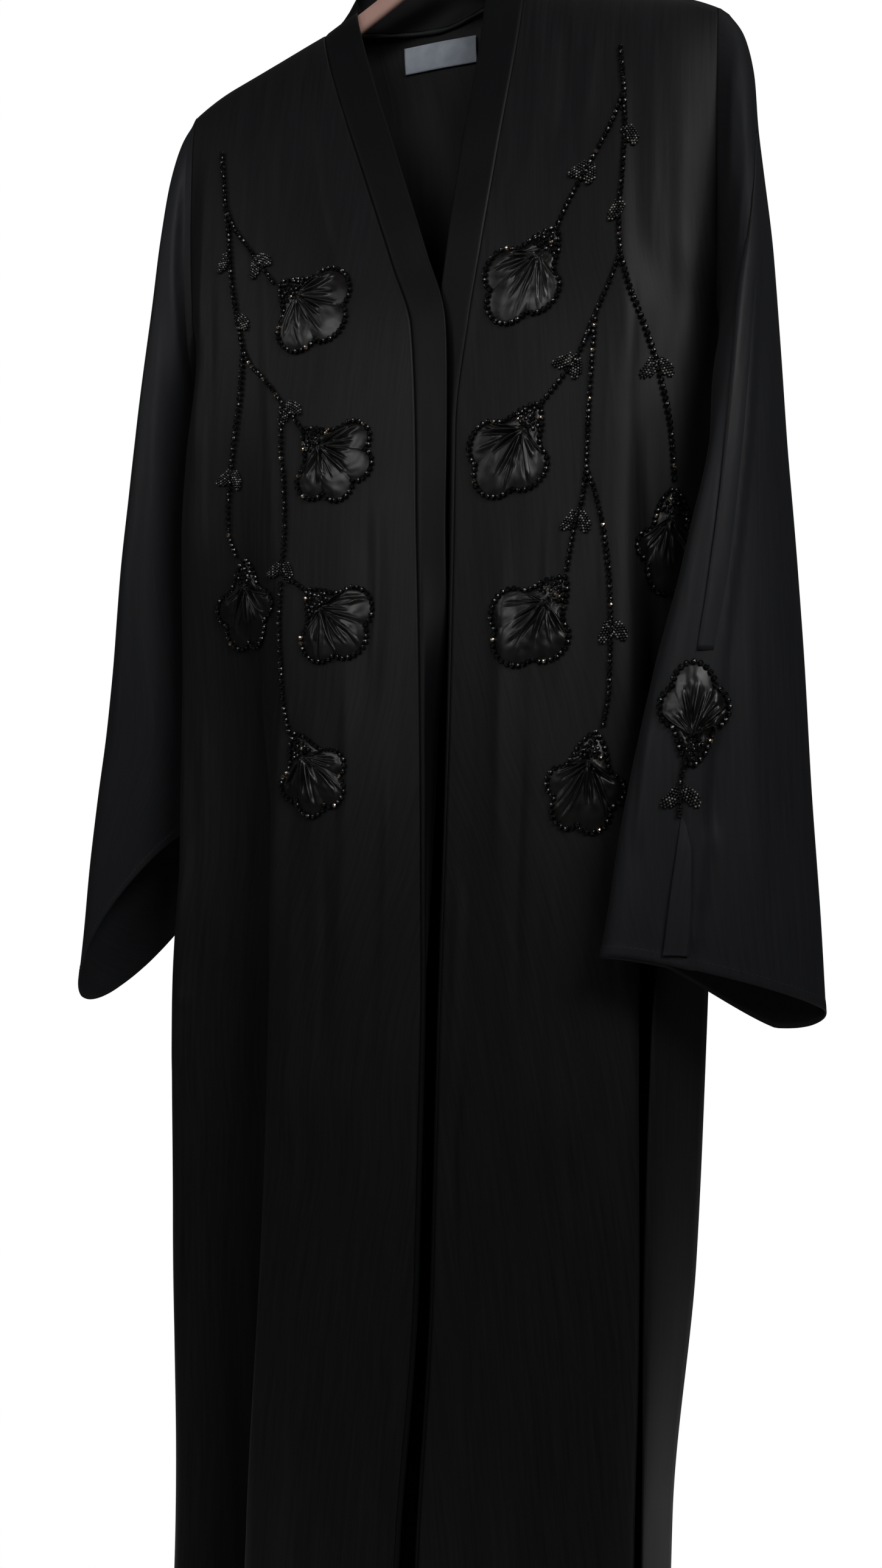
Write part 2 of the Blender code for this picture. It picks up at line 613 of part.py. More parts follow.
def armhole_ring(side, angles):
    """The sleeve's first ring, along the armhole of the front and the back."""
    share = (1 - np.cos(angles)) / 2
    top = float(shoulder_height(side, side.armhole_x))
    bottom = UNDERARM_LEVEL + UNDERARM_RISE
    z = top + share * (bottom - top)
    level_share = (z - UNDERARM_LEVEL) / (top - UNDERARM_LEVEL)
    levels = UNDERARM_LEVEL + level_share * (TOP_LEVEL - UNDERARM_LEVEL)
    y = smooth(-side.rows[:, 0], side.rows[:, 2:3], -levels)[:, 0]
    in_front = np.sin(angles) >= 0
    y = np.where(in_front, y, -y)
    ends = np.abs(np.sin(angles)) < 1e-9
    y = np.where(ends, 0, y)
    x = np.full_like(z, side.armhole_x + side.sign * SEAM_GAP)
    return np.stack((x, y, z), axis=1)


def sleeve_surface(side, rings, angles, pleat):
    """Middle surface of a sleeve, a row for each ring; ring 0 is the armhole."""
    rings = np.asarray(rings, dtype=float)
    share = (1 - np.cos(angles)) / 2
    swell = np.sin(angles)
    table = side.sleeve_rows
    numbers = np.arange(1, len(table) + 1)
    surface = np.zeros((len(rings), len(angles), 3))
    for row, ring in enumerate(rings):
        if ring < 1:
            near = sleeve_ring(table[0], share, swell, side.hem_skew)
            blend = soft_step(ring, 0, 1)
            surface[row] = armhole_ring(side, angles) * (1 - blend) + near * blend
        else:
            values = smooth(numbers, table, (ring,))[0]
            surface[row] = sleeve_ring(values, share, swell, side.hem_skew)
    if pleat is not None:
        rises = smooth(pleat[:, 0], pleat[:, 1:], rings)
        for row, values in enumerate(rises):
            fold = dict(zip(PLEAT_COLUMNS[1:], values))
            inside = soft_step(share, fold["near_edge"] - 0.03, fold["near_edge"] + 0.03)
            inside = inside * (1 - soft_step(share, fold["far_edge"] - 0.02, fold["far_edge"] + 0.02))
            raised = np.where(swell > 0, inside * fold["height"], 0)
            surface[row, :, 1] -= raised
    return surface


def sleeve_ring(values, share, swell, hem_skew):
    """One ring of a sleeve; with a skew of 1 the back of its hem hangs lowest on the outer side."""
    ring = dict(zip(RING_COLUMNS, values))
    outer = np.array((ring["outer_x"], ring["outer_y"], ring["outer_z"]))
    inner = np.array((ring["inner_x"], ring["inner_y"], ring["inner_z"]))
    points = outer + share[:, None] * (inner - outer)
    points[:, 1] -= np.where(swell > 0, ring["front"] * swell, ring["back"] * swell)
    back_lift = ring["back_lift"] * (1 - hem_skew * np.clip(2 * share - 0.5, 0, 1))
    points[:, 2] += np.where(swell > 0, ring["front_lift"] * swell, -back_lift * swell)
    return points


def sleeve_normals(surface):
    down = np.gradient(surface, axis=0)
    over = np.roll(surface, -1, axis=1) - np.roll(surface, 1, axis=1)
    normals = unit(np.cross(over, down))
    centre = surface.mean(axis=1, keepdims=True)
    if np.sum(normals * (surface - centre)) < 0:
        normals = -normals
    edge = normals[0]
    edge[:, 0] = 0
    radial = unit(surface[0] - centre[0])
    radial[:, 0] = 0
    flat = np.linalg.norm(edge, axis=1) < 0.3
    edge[flat] = radial[flat]
    normals[0] = unit(edge)
    return normals


def sleeve(side, pleat):
    angles = np.arange(SLEEVE_POINTS_ROUND) * 2 * math.pi / SLEEVE_POINTS_ROUND
    surface = sleeve_surface(side, SLEEVE_RINGS, angles, pleat)
    return surface, sleeve_normals(surface)


def front_point(side, x, z):
    """The point of a front at x and z with its outward normal."""
    top = float(shoulder_height(side, x))
    level = z
    if z > UNDERARM_LEVEL:
        share = (z - UNDERARM_LEVEL) / (top - UNDERARM_LEVEL)
        level = UNDERARM_LEVEL + share * (TOP_LEVEL - UNDERARM_LEVEL)
    across = np.linspace(0.5, 7, 200)
    row = front_surface(side, (level,), across)[0]
    order = np.argsort(row[:, 0])
    place = float(np.interp(x, row[order, 0], across[order]))
    step = 0.05
    near = front_surface(side, (level + 2 * MM, level, level - 2 * MM), (place - step, place, place + step))
    normal = surface_normals(near, (0, -1, 0))[1, 1]
    return near[1, 1], normal


def flower_outline(angle, length, width, lobes):
    """Distance from the flower's centre to its edge; angle 0 points away from the calyx."""
    angle = (angle + math.pi) % (2 * math.pi) - math.pi
    plain = 1 / math.hypot(2 * math.cos(angle) / length, 2 * math.sin(angle) / width)
    if abs(angle) < LOBES_REACH:
        place = (angle / LOBES_REACH + 1) / 2
        return plain * (1 - LOBE_DEPTH * (1 - abs(math.sin(math.pi * lobes * place)) ** 0.7))
    past = (abs(angle) - LOBES_REACH) / (math.pi - LOBES_REACH)
    return plain * (1 - LOBE_DEPTH * (1 - past) - CALYX_PINCH * math.sin(math.pi * past ** 0.8))


def flower_points(centre_to_world, length, width, lobes):
    """Rows of points from the flower's centre outwards, as place and edge share."""
    rows = [[centre_to_world(0, 0)]]
    for share in FLOWER_RINGS:
        ring = []
        for index in range(FLOWER_EDGE_POINTS):
            angle = 2 * math.pi * index / FLOWER_EDGE_POINTS
            reach = share * flower_outline(angle, length, width, lobes)
            ring.append(centre_to_world(reach * math.cos(angle), reach * math.sin(angle)))
        rows.append(ring)
    return rows


def on_cloth(tree, point, normal):
    """The point on the outside of a built panel straight under a point of its surface."""
    start = Vector(point + normal * 4 * WALL)
    hit = tree.ray_cast(start, Vector(-normal), 8 * WALL)[0]
    if hit is None:
        return point + normal * WALL / 2
    return np.array(hit)


def add_applique(name, rows, tree, finish):
    """A thick applique from rows of (point, normal), gently domed over the panel it lies on."""
    count = FLOWER_EDGE_POINTS
    shares = (0.0, *FLOWER_RINGS)
    bottom = []
    top = []
    for share, row in zip(shares, rows):
        dome = APPLIQUE_THICKNESS * (1 - 0.45 * share**4)
        for point, normal in row:
            base = on_cloth(tree, point, normal)
            bottom.append(base + normal * APPLIQUE_CLEARANCE)
            top.append(base + normal * (APPLIQUE_CLEARANCE + dome))
    size = len(top)
    faces = []
    for index in range(count):
        beside = (index + 1) % count
        faces.append((0, 1 + index, 1 + beside))
        faces.append((size, size + 1 + beside, size + 1 + index))
        for ring in range(len(FLOWER_RINGS) - 1):
            start = 1 + ring * count
            a, b = start + index, start + beside
            c, d = a + count, b + count
            faces.append((a, c, d, b))
            faces.append((size + a, size + b, size + d, size + c))
        last = 1 + (len(FLOWER_RINGS) - 1) * count
        faces.append((last + index, size + last + index, size + last + beside, last + beside))
    return add_object(name, top + bottom, faces, finish)


def add_flower(flower, tree, point_at, finish):
    """One flower, laid on the cloth that point_at gives the points of."""
    turn = math.radians(flower["heading"])
    along = (math.sin(turn), -math.cos(turn))
    beside = (math.cos(turn), math.sin(turn))
    centre_x = flower["calyx_x"] + along[0] * flower["length"] * FLOWER_CENTRE
    centre_z = flower["calyx_z"] + along[1] * flower["length"] * FLOWER_CENTRE

    def place(far, sideways):
        x = centre_x + along[0] * far + beside[0] * sideways
        z = centre_z + along[1] * far + beside[1] * sideways
        return point_at(x, z)

    rows = flower_points(place, flower["length"], flower["width"], flower["lobes"])
    return add_applique(flower["name"], rows, tree, finish)


def sleeve_point(side, pleat, x, z):
    """The point on the front of a sleeve at x and z, found by stepping towards it."""
    ring, angle = 8.0, 1.6
    delta = 0.02
    for _ in range(12):
        near = sleeve_surface(side, (ring, ring + delta), np.array((angle, angle + delta)), pleat)
        miss = np.array((x - near[0, 0, 0], z - near[0, 0, 2]))
        if np.abs(miss).max() < 1e-6:
            break
        by_ring = (near[1, 0] - near[0, 0]) / delta
        by_angle = (near[0, 1] - near[0, 0]) / delta
        system = np.array(((by_ring[0], by_angle[0]), (by_ring[2], by_angle[2])))
        step = np.linalg.solve(system, miss)
        ring += float(np.clip(step[0], -1, 1))
        angle += float(np.clip(step[1], -0.5, 0.5))
    normal = unit(np.cross(by_angle, by_ring))
    if normal[1] > 0:
        normal = -normal
    return near[0, 0], normal


def arm_top(x):
    """Height of the hanger's top edge: below the shoulders, rising to its neck."""
    x = np.asarray(x, dtype=float)
    right_z = float(shoulder_height(RIGHT, RIGHT.neck_x)) - ARM_CLEARANCE
    left_z = float(shoulder_height(LEFT, LEFT.neck_x)) - ARM_CLEARANCE
    rise = ((RIGHT.neck_x, right_z), *ARM_NECK_RISE, (LEFT.neck_x, left_z))
    knots = np.array(rise)
    inner = smooth(knots[:, 0], knots[:, 1:], np.clip(x, RIGHT.neck_x, LEFT.neck_x))[:, 0]
    right = shoulder_height(RIGHT, x) - ARM_CLEARANCE
    left = shoulder_height(LEFT, x) - ARM_CLEARANCE
    return np.where(x < RIGHT.neck_x, right, np.where(x > LEFT.neck_x, left, inner))


def add_hanger_arms(finish):
    """One rounded bar that slopes down on both sides of the hook."""
    right = np.linspace(-ARM_SPAN, RIGHT.neck_x, 6)
    middle = np.linspace(RIGHT.neck_x, LEFT.neck_x, 12)[1:-1]
    left = np.linspace(LEFT.neck_x, ARM_SPAN - 2 * MM, 7)
    x = np.union1d(np.concatenate((right, middle, left)), (0.0,))
    tops = arm_top(x)
    around = 12
    rings = []
    for place, top in zip(x, tops):
        end = 1 - 0.55 * max((abs(place) - 0.175) / 0.021, 0) ** 2
        half_height = ARM_HEIGHT / 2 * end
        half_depth = ARM_THICKNESS / 2 * (0.6 + 0.4 * end)
        ring = []
        for index in range(around):
            angle = 2 * math.pi * index / around
            y = half_depth * math.copysign(abs(math.sin(angle)) ** 0.8, math.sin(angle))
            z = top - half_height + half_height * math.copysign(abs(math.cos(angle)) ** 0.8, math.cos(angle))
            ring.append((place, y, z))
        rings.append(ring)
    points = [point for ring in rings for point in ring]
    faces = []
    for ring in range(len(rings) - 1):
        for index in range(around):
            beside = (index + 1) % around
            a = ring * around + index
            b = ring * around + beside
            faces.append((a, b, b + around, a + around))
    faces.append(tuple(range(around)))
    faces.append(tuple(reversed(range(len(points) - around, len(points)))))
    return add_object("hanger_arms", points, faces, finish)


def add_hook(finish):
    """The hanger's wire hook, with the inner top of its bend at the origin."""
    wire_radius = HOOK_WIRE / 2
    centre_z = -HOOK_RADIUS
    reach = HOOK_RADIUS + wire_radius
    foot = float(arm_top(np.array((0.0,)))[0]) + SEAM_GAP
    path = [(0, foot), (0, foot + .006), (0, centre_z - reach - .004)]
    for index in range(17):
        angle = math.radians(-90 + index * 15)
        if index == 0:
            continue
        path.append((reach * math.cos(angle), centre_z + reach * math.sin(angle)))
    around = 8
    centre_line = np.array([(x, 0, z) for x, z in path])
    along = unit(np.gradient(centre_line, axis=0))
    sideways = np.array((0, 1.0, 0))
    points = []
    for centre, tangent in zip(centre_line, along):
        across = np.cross(tangent, sideways)
        for index in range(around):
            angle = 2 * math.pi * index / around
            points.append(centre + wire_radius * (math.cos(angle) * sideways + math.sin(angle) * across))
    faces = []
    for ring in range(len(path) - 1):
        for index in range(around):
            beside = (index + 1) % around
            a = ring * around + index
            b = ring * around + beside
            faces.append((a, b, b + around, a + around))
    faces.append(tuple(range(around)))
    faces.append(tuple(reversed(range(len(points) - around, len(points)))))
    return add_object("hanger_hook", points, faces, finish)


def add_label(finish):
    """A bare woven label on the inside of the back, just below the neck band."""
    x = np.linspace(LABEL_CENTRE_X - LABEL_WIDTH / 2, LABEL_CENTRE_X + LABEL_WIDTH / 2, 9)
    heights = np.linspace(LABEL_TOP_Z, LABEL_TOP_Z - LABEL_HEIGHT, 3)
    across = np.linspace(2, 4, 80)
    lift = WALL / 2 + 3 * SEAM_GAP + LABEL_THICKNESS / 2
    surface = np.zeros((len(heights), len(x), 3))
    for row, z in enumerate(heights):
        share = (z - UNDERARM_LEVEL) / (float(back_top(x).mean()) - UNDERARM_LEVEL)
        level = UNDERARM_LEVEL + share * (TOP_LEVEL - UNDERARM_LEVEL)
        cloth = back_surface((level,), across)[0]
        surface[row, :, 0] = x
        surface[row, :, 1] = np.interp(x, cloth[:, 0], cloth[:, 1]) - lift
        surface[row, :, 2] = z
    normals = np.zeros_like(surface)
    normals[:, :, 1] = -1
    return add_wall("neck_label", surface, normals, finish, thickness=LABEL_THICKNESS)


def clear_scene():
    for item in list(bpy.data.objects):
        bpy.data.objects.remove(item, do_unlink=True)


def add_flowers(trees):
    fabric = (0.012, 0.010, 0.009)
    pleat = np.array(LEFT_SLEEVE_PLEAT)
    for record in (*FLOWERS, SLEEVE_FLOWER):
        flower = dict(zip(FLOWER_COLUMNS, record))
        finish = material(f"{flower['name']}_fabric", fabric, 0.30)
        if flower["panel"] == "sleeve":
            add_flower(flower, trees["sleeve_left"], partial(sleeve_point, LEFT, pleat), finish)
        else:
            side = RIGHT if flower["panel"] == "right" else LEFT
            add_flower(flower, trees[f"front_{flower['panel']}"], partial(front_point, side), finish)


def main():
    clear_scene()
    trees = {}
    cloth = (0.010, 0.010, 0.011)
    for side, word in ((RIGHT, "right"), (LEFT, "left")):
        surface, normals = front_panel(side)
        made = add_wall(f"front_{word}", surface, normals, material(f"front_{word}_cloth", cloth, 0.45))
        trees[made.name] = panel_tree(made)
        band, band_normals = front_band(side, surface, normals)
        add_wall(f"band_{word}", band, band_normals, material(f"band_{word}_cloth", cloth, 0.42))
        pleat = np.array(LEFT_SLEEVE_PLEAT) if side is LEFT else None
        tube, tube_normals = sleeve(side, pleat)
        finish = material(f"sleeve_{word}_cloth", cloth, 0.45)
        made = add_wall(f"sleeve_{word}", tube, tube_normals, finish, closed_round=True)
        trees[made.name] = panel_tree(made)
    surface = back_surface(FRONT_LEVELS, span_fractions(BACK_SPAN_STEPS))
    normals = back_normals(surface)
    add_wall("back", surface, normals, material("back_cloth", cloth, 0.45))
    band, band_normals = neck_band(surface, normals)
    add_wall("band_neck", band, band_normals, material("band_neck_cloth", cloth, 0.42))
    add_flowers(trees)
    add_label(material("label_fabric", (0.55, 0.60, 0.66), 0.8))
    add_hanger_arms(material("hanger_plastic", (0.67, 0.40, 0.33), 0.5))
    add_hook(material("hook_steel", (0.6, 0.6, 0.6), 0.25, 1.0))


main()
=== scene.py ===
"""The looks of an open-front abaya on a hanger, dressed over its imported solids.

The cloth follows the same named sizes as the solids, drawn finely and with its
creases, hems, stitches, gathered flowers and beads. Lengths are in metres.
"""

import math

import bmesh
import bpy
import numpy as np
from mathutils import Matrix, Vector
from mathutils.bvhtree import BVHTree


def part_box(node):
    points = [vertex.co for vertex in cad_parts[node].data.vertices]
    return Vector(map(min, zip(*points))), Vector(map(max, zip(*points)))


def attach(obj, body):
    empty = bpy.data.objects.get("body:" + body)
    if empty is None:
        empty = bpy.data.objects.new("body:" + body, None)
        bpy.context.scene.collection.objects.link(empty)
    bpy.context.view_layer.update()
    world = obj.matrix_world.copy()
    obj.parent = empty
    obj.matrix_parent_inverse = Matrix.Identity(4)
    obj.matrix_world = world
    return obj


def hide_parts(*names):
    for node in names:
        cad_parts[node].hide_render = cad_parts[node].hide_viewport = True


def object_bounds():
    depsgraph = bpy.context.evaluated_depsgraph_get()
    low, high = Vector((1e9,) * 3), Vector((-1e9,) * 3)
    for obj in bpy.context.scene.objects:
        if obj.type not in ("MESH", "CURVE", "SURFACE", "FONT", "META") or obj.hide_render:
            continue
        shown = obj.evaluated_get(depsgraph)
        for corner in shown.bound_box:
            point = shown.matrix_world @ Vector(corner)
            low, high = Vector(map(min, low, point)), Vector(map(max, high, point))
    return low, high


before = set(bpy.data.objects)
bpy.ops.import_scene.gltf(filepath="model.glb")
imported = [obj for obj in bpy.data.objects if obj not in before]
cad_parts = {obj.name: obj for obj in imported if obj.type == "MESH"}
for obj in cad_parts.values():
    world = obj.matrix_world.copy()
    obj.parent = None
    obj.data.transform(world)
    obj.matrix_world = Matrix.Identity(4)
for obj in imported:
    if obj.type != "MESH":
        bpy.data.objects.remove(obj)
CAD_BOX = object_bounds()

MM = 0.001
# Points this close to an edge count as on it
TOUCH = 1e-6

# Driving sizes, the same as the solids have
SEAM_GAP = 0.3 * MM
HALF_GAP = SEAM_GAP / 2
TOP_LEVEL = -0.119
HEM_LEVEL = -1.525
UNDERARM_LEVEL = -0.366
UNDERARM_RISE = 14 * MM
SHOULDER_TIP_START = 0.170
SHOULDER_TIP_REACH = 0.030
SHOULDER_TIP_DROP = 4 * MM
CREST_ACROSS = 0.22
CREST_FORWARD = 0.60
BAND_TURN_WIDTH = 0.2
NECK_BAND_WIDTH = 32 * MM
NECK_RISE = 0.5
NECK_BLEND = 60 * MM
NECK_BAND_LEAN = math.radians(84)
NECK_DEPTH = 31 * MM
NECK_FADE = 0.08
# One row for each level of a front panel. The level is the height where the
# panel meets its neck band; towards the shoulder the rows tilt with the seam.
# The columns run from the side seam to the neck band: the side seam, the crest
# of the side strip, the two feet of the deep fold, the lip of that fold, the
# middle of the front and the seam of the band, each as x and y.
FRONT_STATIONS = ("side", "strip", "outer_foot", "inner_foot", "lip", "middle", "band_seam")
RIGHT_FRONT_ROWS = (
    (-.119, -.204, -HALF_GAP, -.186, -HALF_GAP, -.17, -HALF_GAP, -.156, -HALF_GAP,
     -.142, -HALF_GAP, -.118, -HALF_GAP, -.0955, -HALF_GAP),
    (-.1235, -.204, -.006, -.186, -.006, -.17, -.006, -.156, -.006,
     -.142, -.006, -.118, -.006, -.0942, -.006),
    (-.165, -.204, -.012, -.187, -.017, -.171, -.019, -.156, -.02,
     -.141, -.021, -.112, -.0215, -.0807, -.0208),
    (-.25, -.204, -.014, -.188, -.026, -.172, -.031, -.156, -.033, -.138, -.035, -.095, -.037, -.049, -.0365),
    (-.32, -.204, -.011, -.19, -.03, -.174, -.038, -.155, -.041, -.133, -.044, -.08, -.049, -.0233, -.0462),
    (-.366, -.204, -HALF_GAP, -.192, -.026, -.176, -.04, -.155, -.044,
     -.13, -.049, -.07, -.055, -.0075, -.0512),
    (-.44, -.2095, -.003, -.196, -.034, -.177, -.044, -.154, -.046,
     -.124, -.054, -.065, -.061, -.0024, -.056),
    (-.5, -.213, -.005, -.198, -.036, -.176, -.044, -.152, -.046, -.119, -.058, -.062, -.065, -.0004, -.06),
    (-.6, -.2125, -.008, -.197, -.035, -.168, -.038, -.138, -.042, -.108, -.066, -.055, -.073, .0042, -.067),
    (-.74, -.213, -.01, -.197, -.037, -.158, -.03, -.128, -.026, -.1025, -.076, -.05, -.083, .0088, -.0762),
    (-.86, -.2215, -.01, -.199, -.041, -.157, -.03, -.121, -.019,
     -.1015, -.0835, -.049, -.091, .0116, -.0843),
    (-1.02, -.2215, -.01, -.198, -.043, -.155, -.03, -.119, -.018,
     -.103, -.0945, -.049, -.101, .0114, -.0957),
    (-1.2, -.2175, -.01, -.195, -.045, -.152, -.029, -.124, -.015,
     -.1075, -.1065, -.052, -.112, .0018, -.107),
    (-1.525, -.221, -.01, -.197, -.048, -.155, -.03, -.128, -.014, -.113, -.117, -.056, -.122, -.008, -.115),
)
LEFT_FRONT_ROWS = (
    (-.119, .2, -HALF_GAP, .184, -HALF_GAP, .17, -HALF_GAP, .158, -HALF_GAP,
     .145, -HALF_GAP, .105, -HALF_GAP, .0665, -HALF_GAP),
    (-.1235, .2, -.006, .184, -.006, .17, -.006, .158, -.006, .145, -.006, .105, -.006, .066, -.006),
    (-.165, .2, -.01, .185, -.015, .172, -.018, .16, -.0195, .146, -.0205, .1, -.0215, .063, -.0205),
    (-.25, .2, -.012, .186, -.022, .175, -.027, .163, -.029, .149, -.031, .098, -.036, .0517, -.036),
    (-.32, .2, -.01, .187, -.024, .177, -.03, .166, -.033, .152, -.037, .096, -.045, .0415, -.045),
    (-.366, .2, -HALF_GAP, .189, -.02, .178, -.028, .168, -.032, .154, -.04, .094, -.051, .034, -.048),
    (-.44, .2015, .002, .19, -.02, .174, -.033, .159, -.04, .15, -.0455, .09, -.057, .0258, -.051),
    (-.5, .2015, .004, .19, -.02, .173, -.033, .158, -.04, .15, -.049, .09, -.062, .0264, -.0555),
    (-.56, .2005, .005, .188, -.02, .171, -.03, .158, -.036, .152, -.053, .09, -.0665, .0268, -.06),
    (-.64, .198, .005, .184, -.026, .168, -.022, .157, -.023, .155, -.058, .09, -.073, .027, -.0665),
    (-.74, .1945, .004, .174, -.048, .163, -.024, .152, -.024, .156, -.063, .09, -.081, .0262, -.0735),
    (-.86, .1905, .003, .165, -.064, .16, -.028, .149, -.027, .157, -.07, .09, -.089, .0252, -.082),
    (-1.02, .183, .005, .163, -.0755, .157, -.032, .147, -.03, .1585, -.079, .089, -.099, .0248, -.093),
    (-1.2, .166, .008, .1625, -.085, .156, -.038, .145, -.034, .158, -.089, .085, -.109, .018, -.104),
    (-1.525, .16, .008, .1588, -.093, .152, -.04, .141, -.036, .154, -.098, .08, -.118, .01, -.112),
)

# The back panel, from the wearer's right to the left, between the side seams:
# the wide fold, the right neck point, the centre, the left neck point and the
# wide fold on the left, each as x and y at each level.
BACK_STATIONS = ("right_fold", "right_neck", "centre", "left_neck", "left_fold")
BACK_ROWS = (
    (-.119, -.15, HALF_GAP, -.0955, HALF_GAP, -.0145, .031, .0665, HALF_GAP, .13, HALF_GAP),
    (-.1235, -.15, .006, -.0955, .0075, -.0145, .032, .0665, .0075, .13, .006),
    (-.165, -.15, .016, -.0955, .022, -.0145, .037, .0665, .021, .13, .016),
    (-.25, -.15, .024, -.095, .034, -.0145, .043, .066, .033, .13, .023),
    (-.366, -.15, .028, -.095, .04, -.015, .046, .066, .04, .135, .03),
    (-.5, -.165, .022, -.105, .042, -.015, .048, .075, .046, .145, .036),
    (-.74, -.165, .02, -.1, .046, -.015, .046, .08, .052, .145, .036),
    (-1.02, -.165, .022, -.095, .054, -.015, .044, .075, .056, .14, .034),
    (-1.525, -.165, .024, -.095, .062, -.02, .044, .065, .06, .125, .036),
)
# Soft hanging folds of the back
BACK_FOLD_COLUMNS = ("place", "half_width", "depth", "starts")
BACK_FOLD_GROWTH = 0.35
BACK_FOLDS = (
    (-.13, .022, .01, -.55),
    (-.05, .02, .009, -.6),
    (.035, .022, .011, -.5),
    (.105, .02, .012, -.45),
)
# The neckline of the back panel: x and height
BACK_NECKLINE = ((-.0955, -.119), (-.074, -.111), (-.0145, -.113), (.03, -.105), (.0665, -.1061))

# Each front band: level, width and how far it turns inwards, in degrees
RIGHT_BAND_ROWS = (
    (-.119, .03, 0),
    (-.25, .028, 0),
    (-.36, .0255, 3),
    (-.44, .0225, 6),
    (-.54, .0205, 16),
    (-.65, .022, 74),
    (-.775, .024, 96),
    (-.86, .024, 110),
    (-1.525, .024, 110),
)
LEFT_BAND_ROWS = (
    (-.119, .03, 0),
    (-.25, .028, 2),
    (-.36, .0255, 10),
    (-.44, .024, 42),
    (-.54, .024, 70),
    (-.65, .024, 88),
    (-1.525, .024, 92),
)

# Rings of a sleeve below the armhole. The outer point of a ring lies on the
# fold over the arm, the inner point on the underarm fold; front and back are
# how far the cloth swells from the line between them, and the lifts raise the
# front or the back of the ring.
RING_COLUMNS = (
    "outer_x", "outer_y", "outer_z", "inner_x", "inner_y", "inner_z",
    "front", "back", "front_lift", "back_lift",
)
RIGHT_SLEEVE_ROWS = (
    (-.2085, 0, -.169, -.2105, .004, -.375, .018, .018, 0, 0),
    (-.2145, -.002, -.181, -.213, .01, -.395, .024, .02, 0, 0),
    (-.2205, -.004, -.205, -.215, .018, -.42, .03, .023, 0, 0),
    (-.227, -.007, -.25, -.216, .025, -.45, .033, .025, 0, 0),
    (-.2355, -.01, -.315, -.2165, .031, -.485, .036, .026, 0, 0),
    (-.246, -.012, -.4, -.216, .036, -.53, .038, .028, 0, 0),
    (-.259, -.012, -.5, -.2145, .04, -.58, .038, .028, 0, 0),
    (-.271, -.012, -.6, -.212, .043, -.63, .036, .028, 0, 0),
    (-.284, -.012, -.7, -.209, .045, -.672, .034, .028, .004, 0),
    (-.2965, -.012, -.79, -.206, .046, -.705, .032, .028, .018, -.01),
    (-.3055, -.012, -.857, -.203, .047, -.722, .03, .028, .03, -.024),
)
LEFT_SLEEVE_ROWS = (
    (.2065, 0, -.16, .2065, -.004, -.375, .018, .018, 0, 0),
    (.2164, -.001, -.1763, .2085, -.009, -.393, .024, .02, 0, 0),
    (.2235, -.004, -.205, .2095, -.016, -.412, .029, .022, 0, 0),
    (.228, -.01, -.25, .208, -.028, -.438, .032, .024, 0, 0),
    (.235, -.018, -.315, .203, -.044, -.478, .034, .024, 0, 0),
    (.242, -.025, -.4, .1895, -.062, -.53, .034, .024, 0, 0),
    (.2505, -.03, -.5, .176, -.076, -.59, .032, .024, 0, 0),
    (.2585, -.034, -.6, .163, -.088, -.65, .03, .026, 0, 0),
    (.2645, -.036, -.7, .1525, -.099, -.715, .028, .026, 0, 0),
    (.2695, -.036, -.775, .1465, -.105, -.765, .028, .028, .004, -.01),
    (.2725, -.034, -.834, .142, -.108, -.797, .028, .03, .0115, -.0265),
)
# The long pleat on the front of the left sleeve: how far across the sleeve its
# two edges lie, from the outer fold, and how high it stands, at each ring
PLEAT_COLUMNS = ("ring", "far_edge", "near_edge", "height")
LEFT_SLEEVE_PLEAT = (
    (0, .02, 0, 0),
    (4, .12, .02, .001),
    (6, .42, .22, .0025),
    (8, .66, .46, .0015),
    (9, .69, .5, .0022),
    (11, .74, .58, .004),
)

# Applique flowers. The heading is how the flower points from its calyx, in
# degrees from straight down towards +X.
FLOWER_COLUMNS = ("name", "panel", "calyx_x", "calyx_z", "heading", "length", "width", "lobes")
FLOWERS = (
    ("flower_right_1", "right", -.107, -.324, 49, .064, .068, 3),
    ("flower_right_2", "right", -.083, -.436, 44, .061, .066, 4),
    ("flower_right_3", "right", -.137, -.525, 1, .067, .056, 4),
    ("flower_right_4", "right", -.0765, -.552, 42, .06, .062, 3),
    ("flower_right_5", "right", -.084, -.654, 27, .062, .052, 4),
    ("flower_left_1", "left", .095, -.311, -35, .073, .058, 3),
    ("flower_left_2", "left", .086, -.433, -34, .07, .062, 3),
    ("flower_left_3", "left", .106, -.552, -38, .069, .06, 3),
    ("flower_left_4", "left", .174, -.492, -6, .07, .036, 3),
    ("flower_left_5", "left", .129, -.656, -10, .068, .05, 4),
)
SLEEVE_FLOWER = ("flower_left_sleeve", "sleeve", .1975, -.6730, 180, .064, .040, 3)
FLOWER_CENTRE = 0.46
# The lobes of a flower lie on the far side, within this angle of its axis
LOBES_REACH = math.radians(112)
LOBE_DEPTH = 0.22
CALYX_PINCH = 0.24

# The hanger
ARM_HEIGHT = 15 * MM
ARM_THICKNESS = 7 * MM
ARM_END = 12 * MM
ARM_ROUNDING = 0.8
ARM_CLEARANCE = 2.4 * MM
# The hanger's top edge between the neck points: x and height
ARM_NECK_RISE = (
    (-.0687, -.1085), (-.05, -.0985), (-.03, -.0875), (-.012, -.0795), (0, -.077),
    (.01, -.0785), (.025, -.087), (.0397, -.0957),
)
HOOK_WIRE = 3.6 * MM
HOOK_RADIUS = 19 * MM

# The plain label inside the back of the neck
LABEL_CENTRE_X = -0.0150
LABEL_TOP_Z = -0.1220
LABEL_WIDTH = 58 * MM
LABEL_HEIGHT = 19 * MM
LABEL_LIFT = 2.1 * MM
LABEL_BELLY = 0.8 * MM


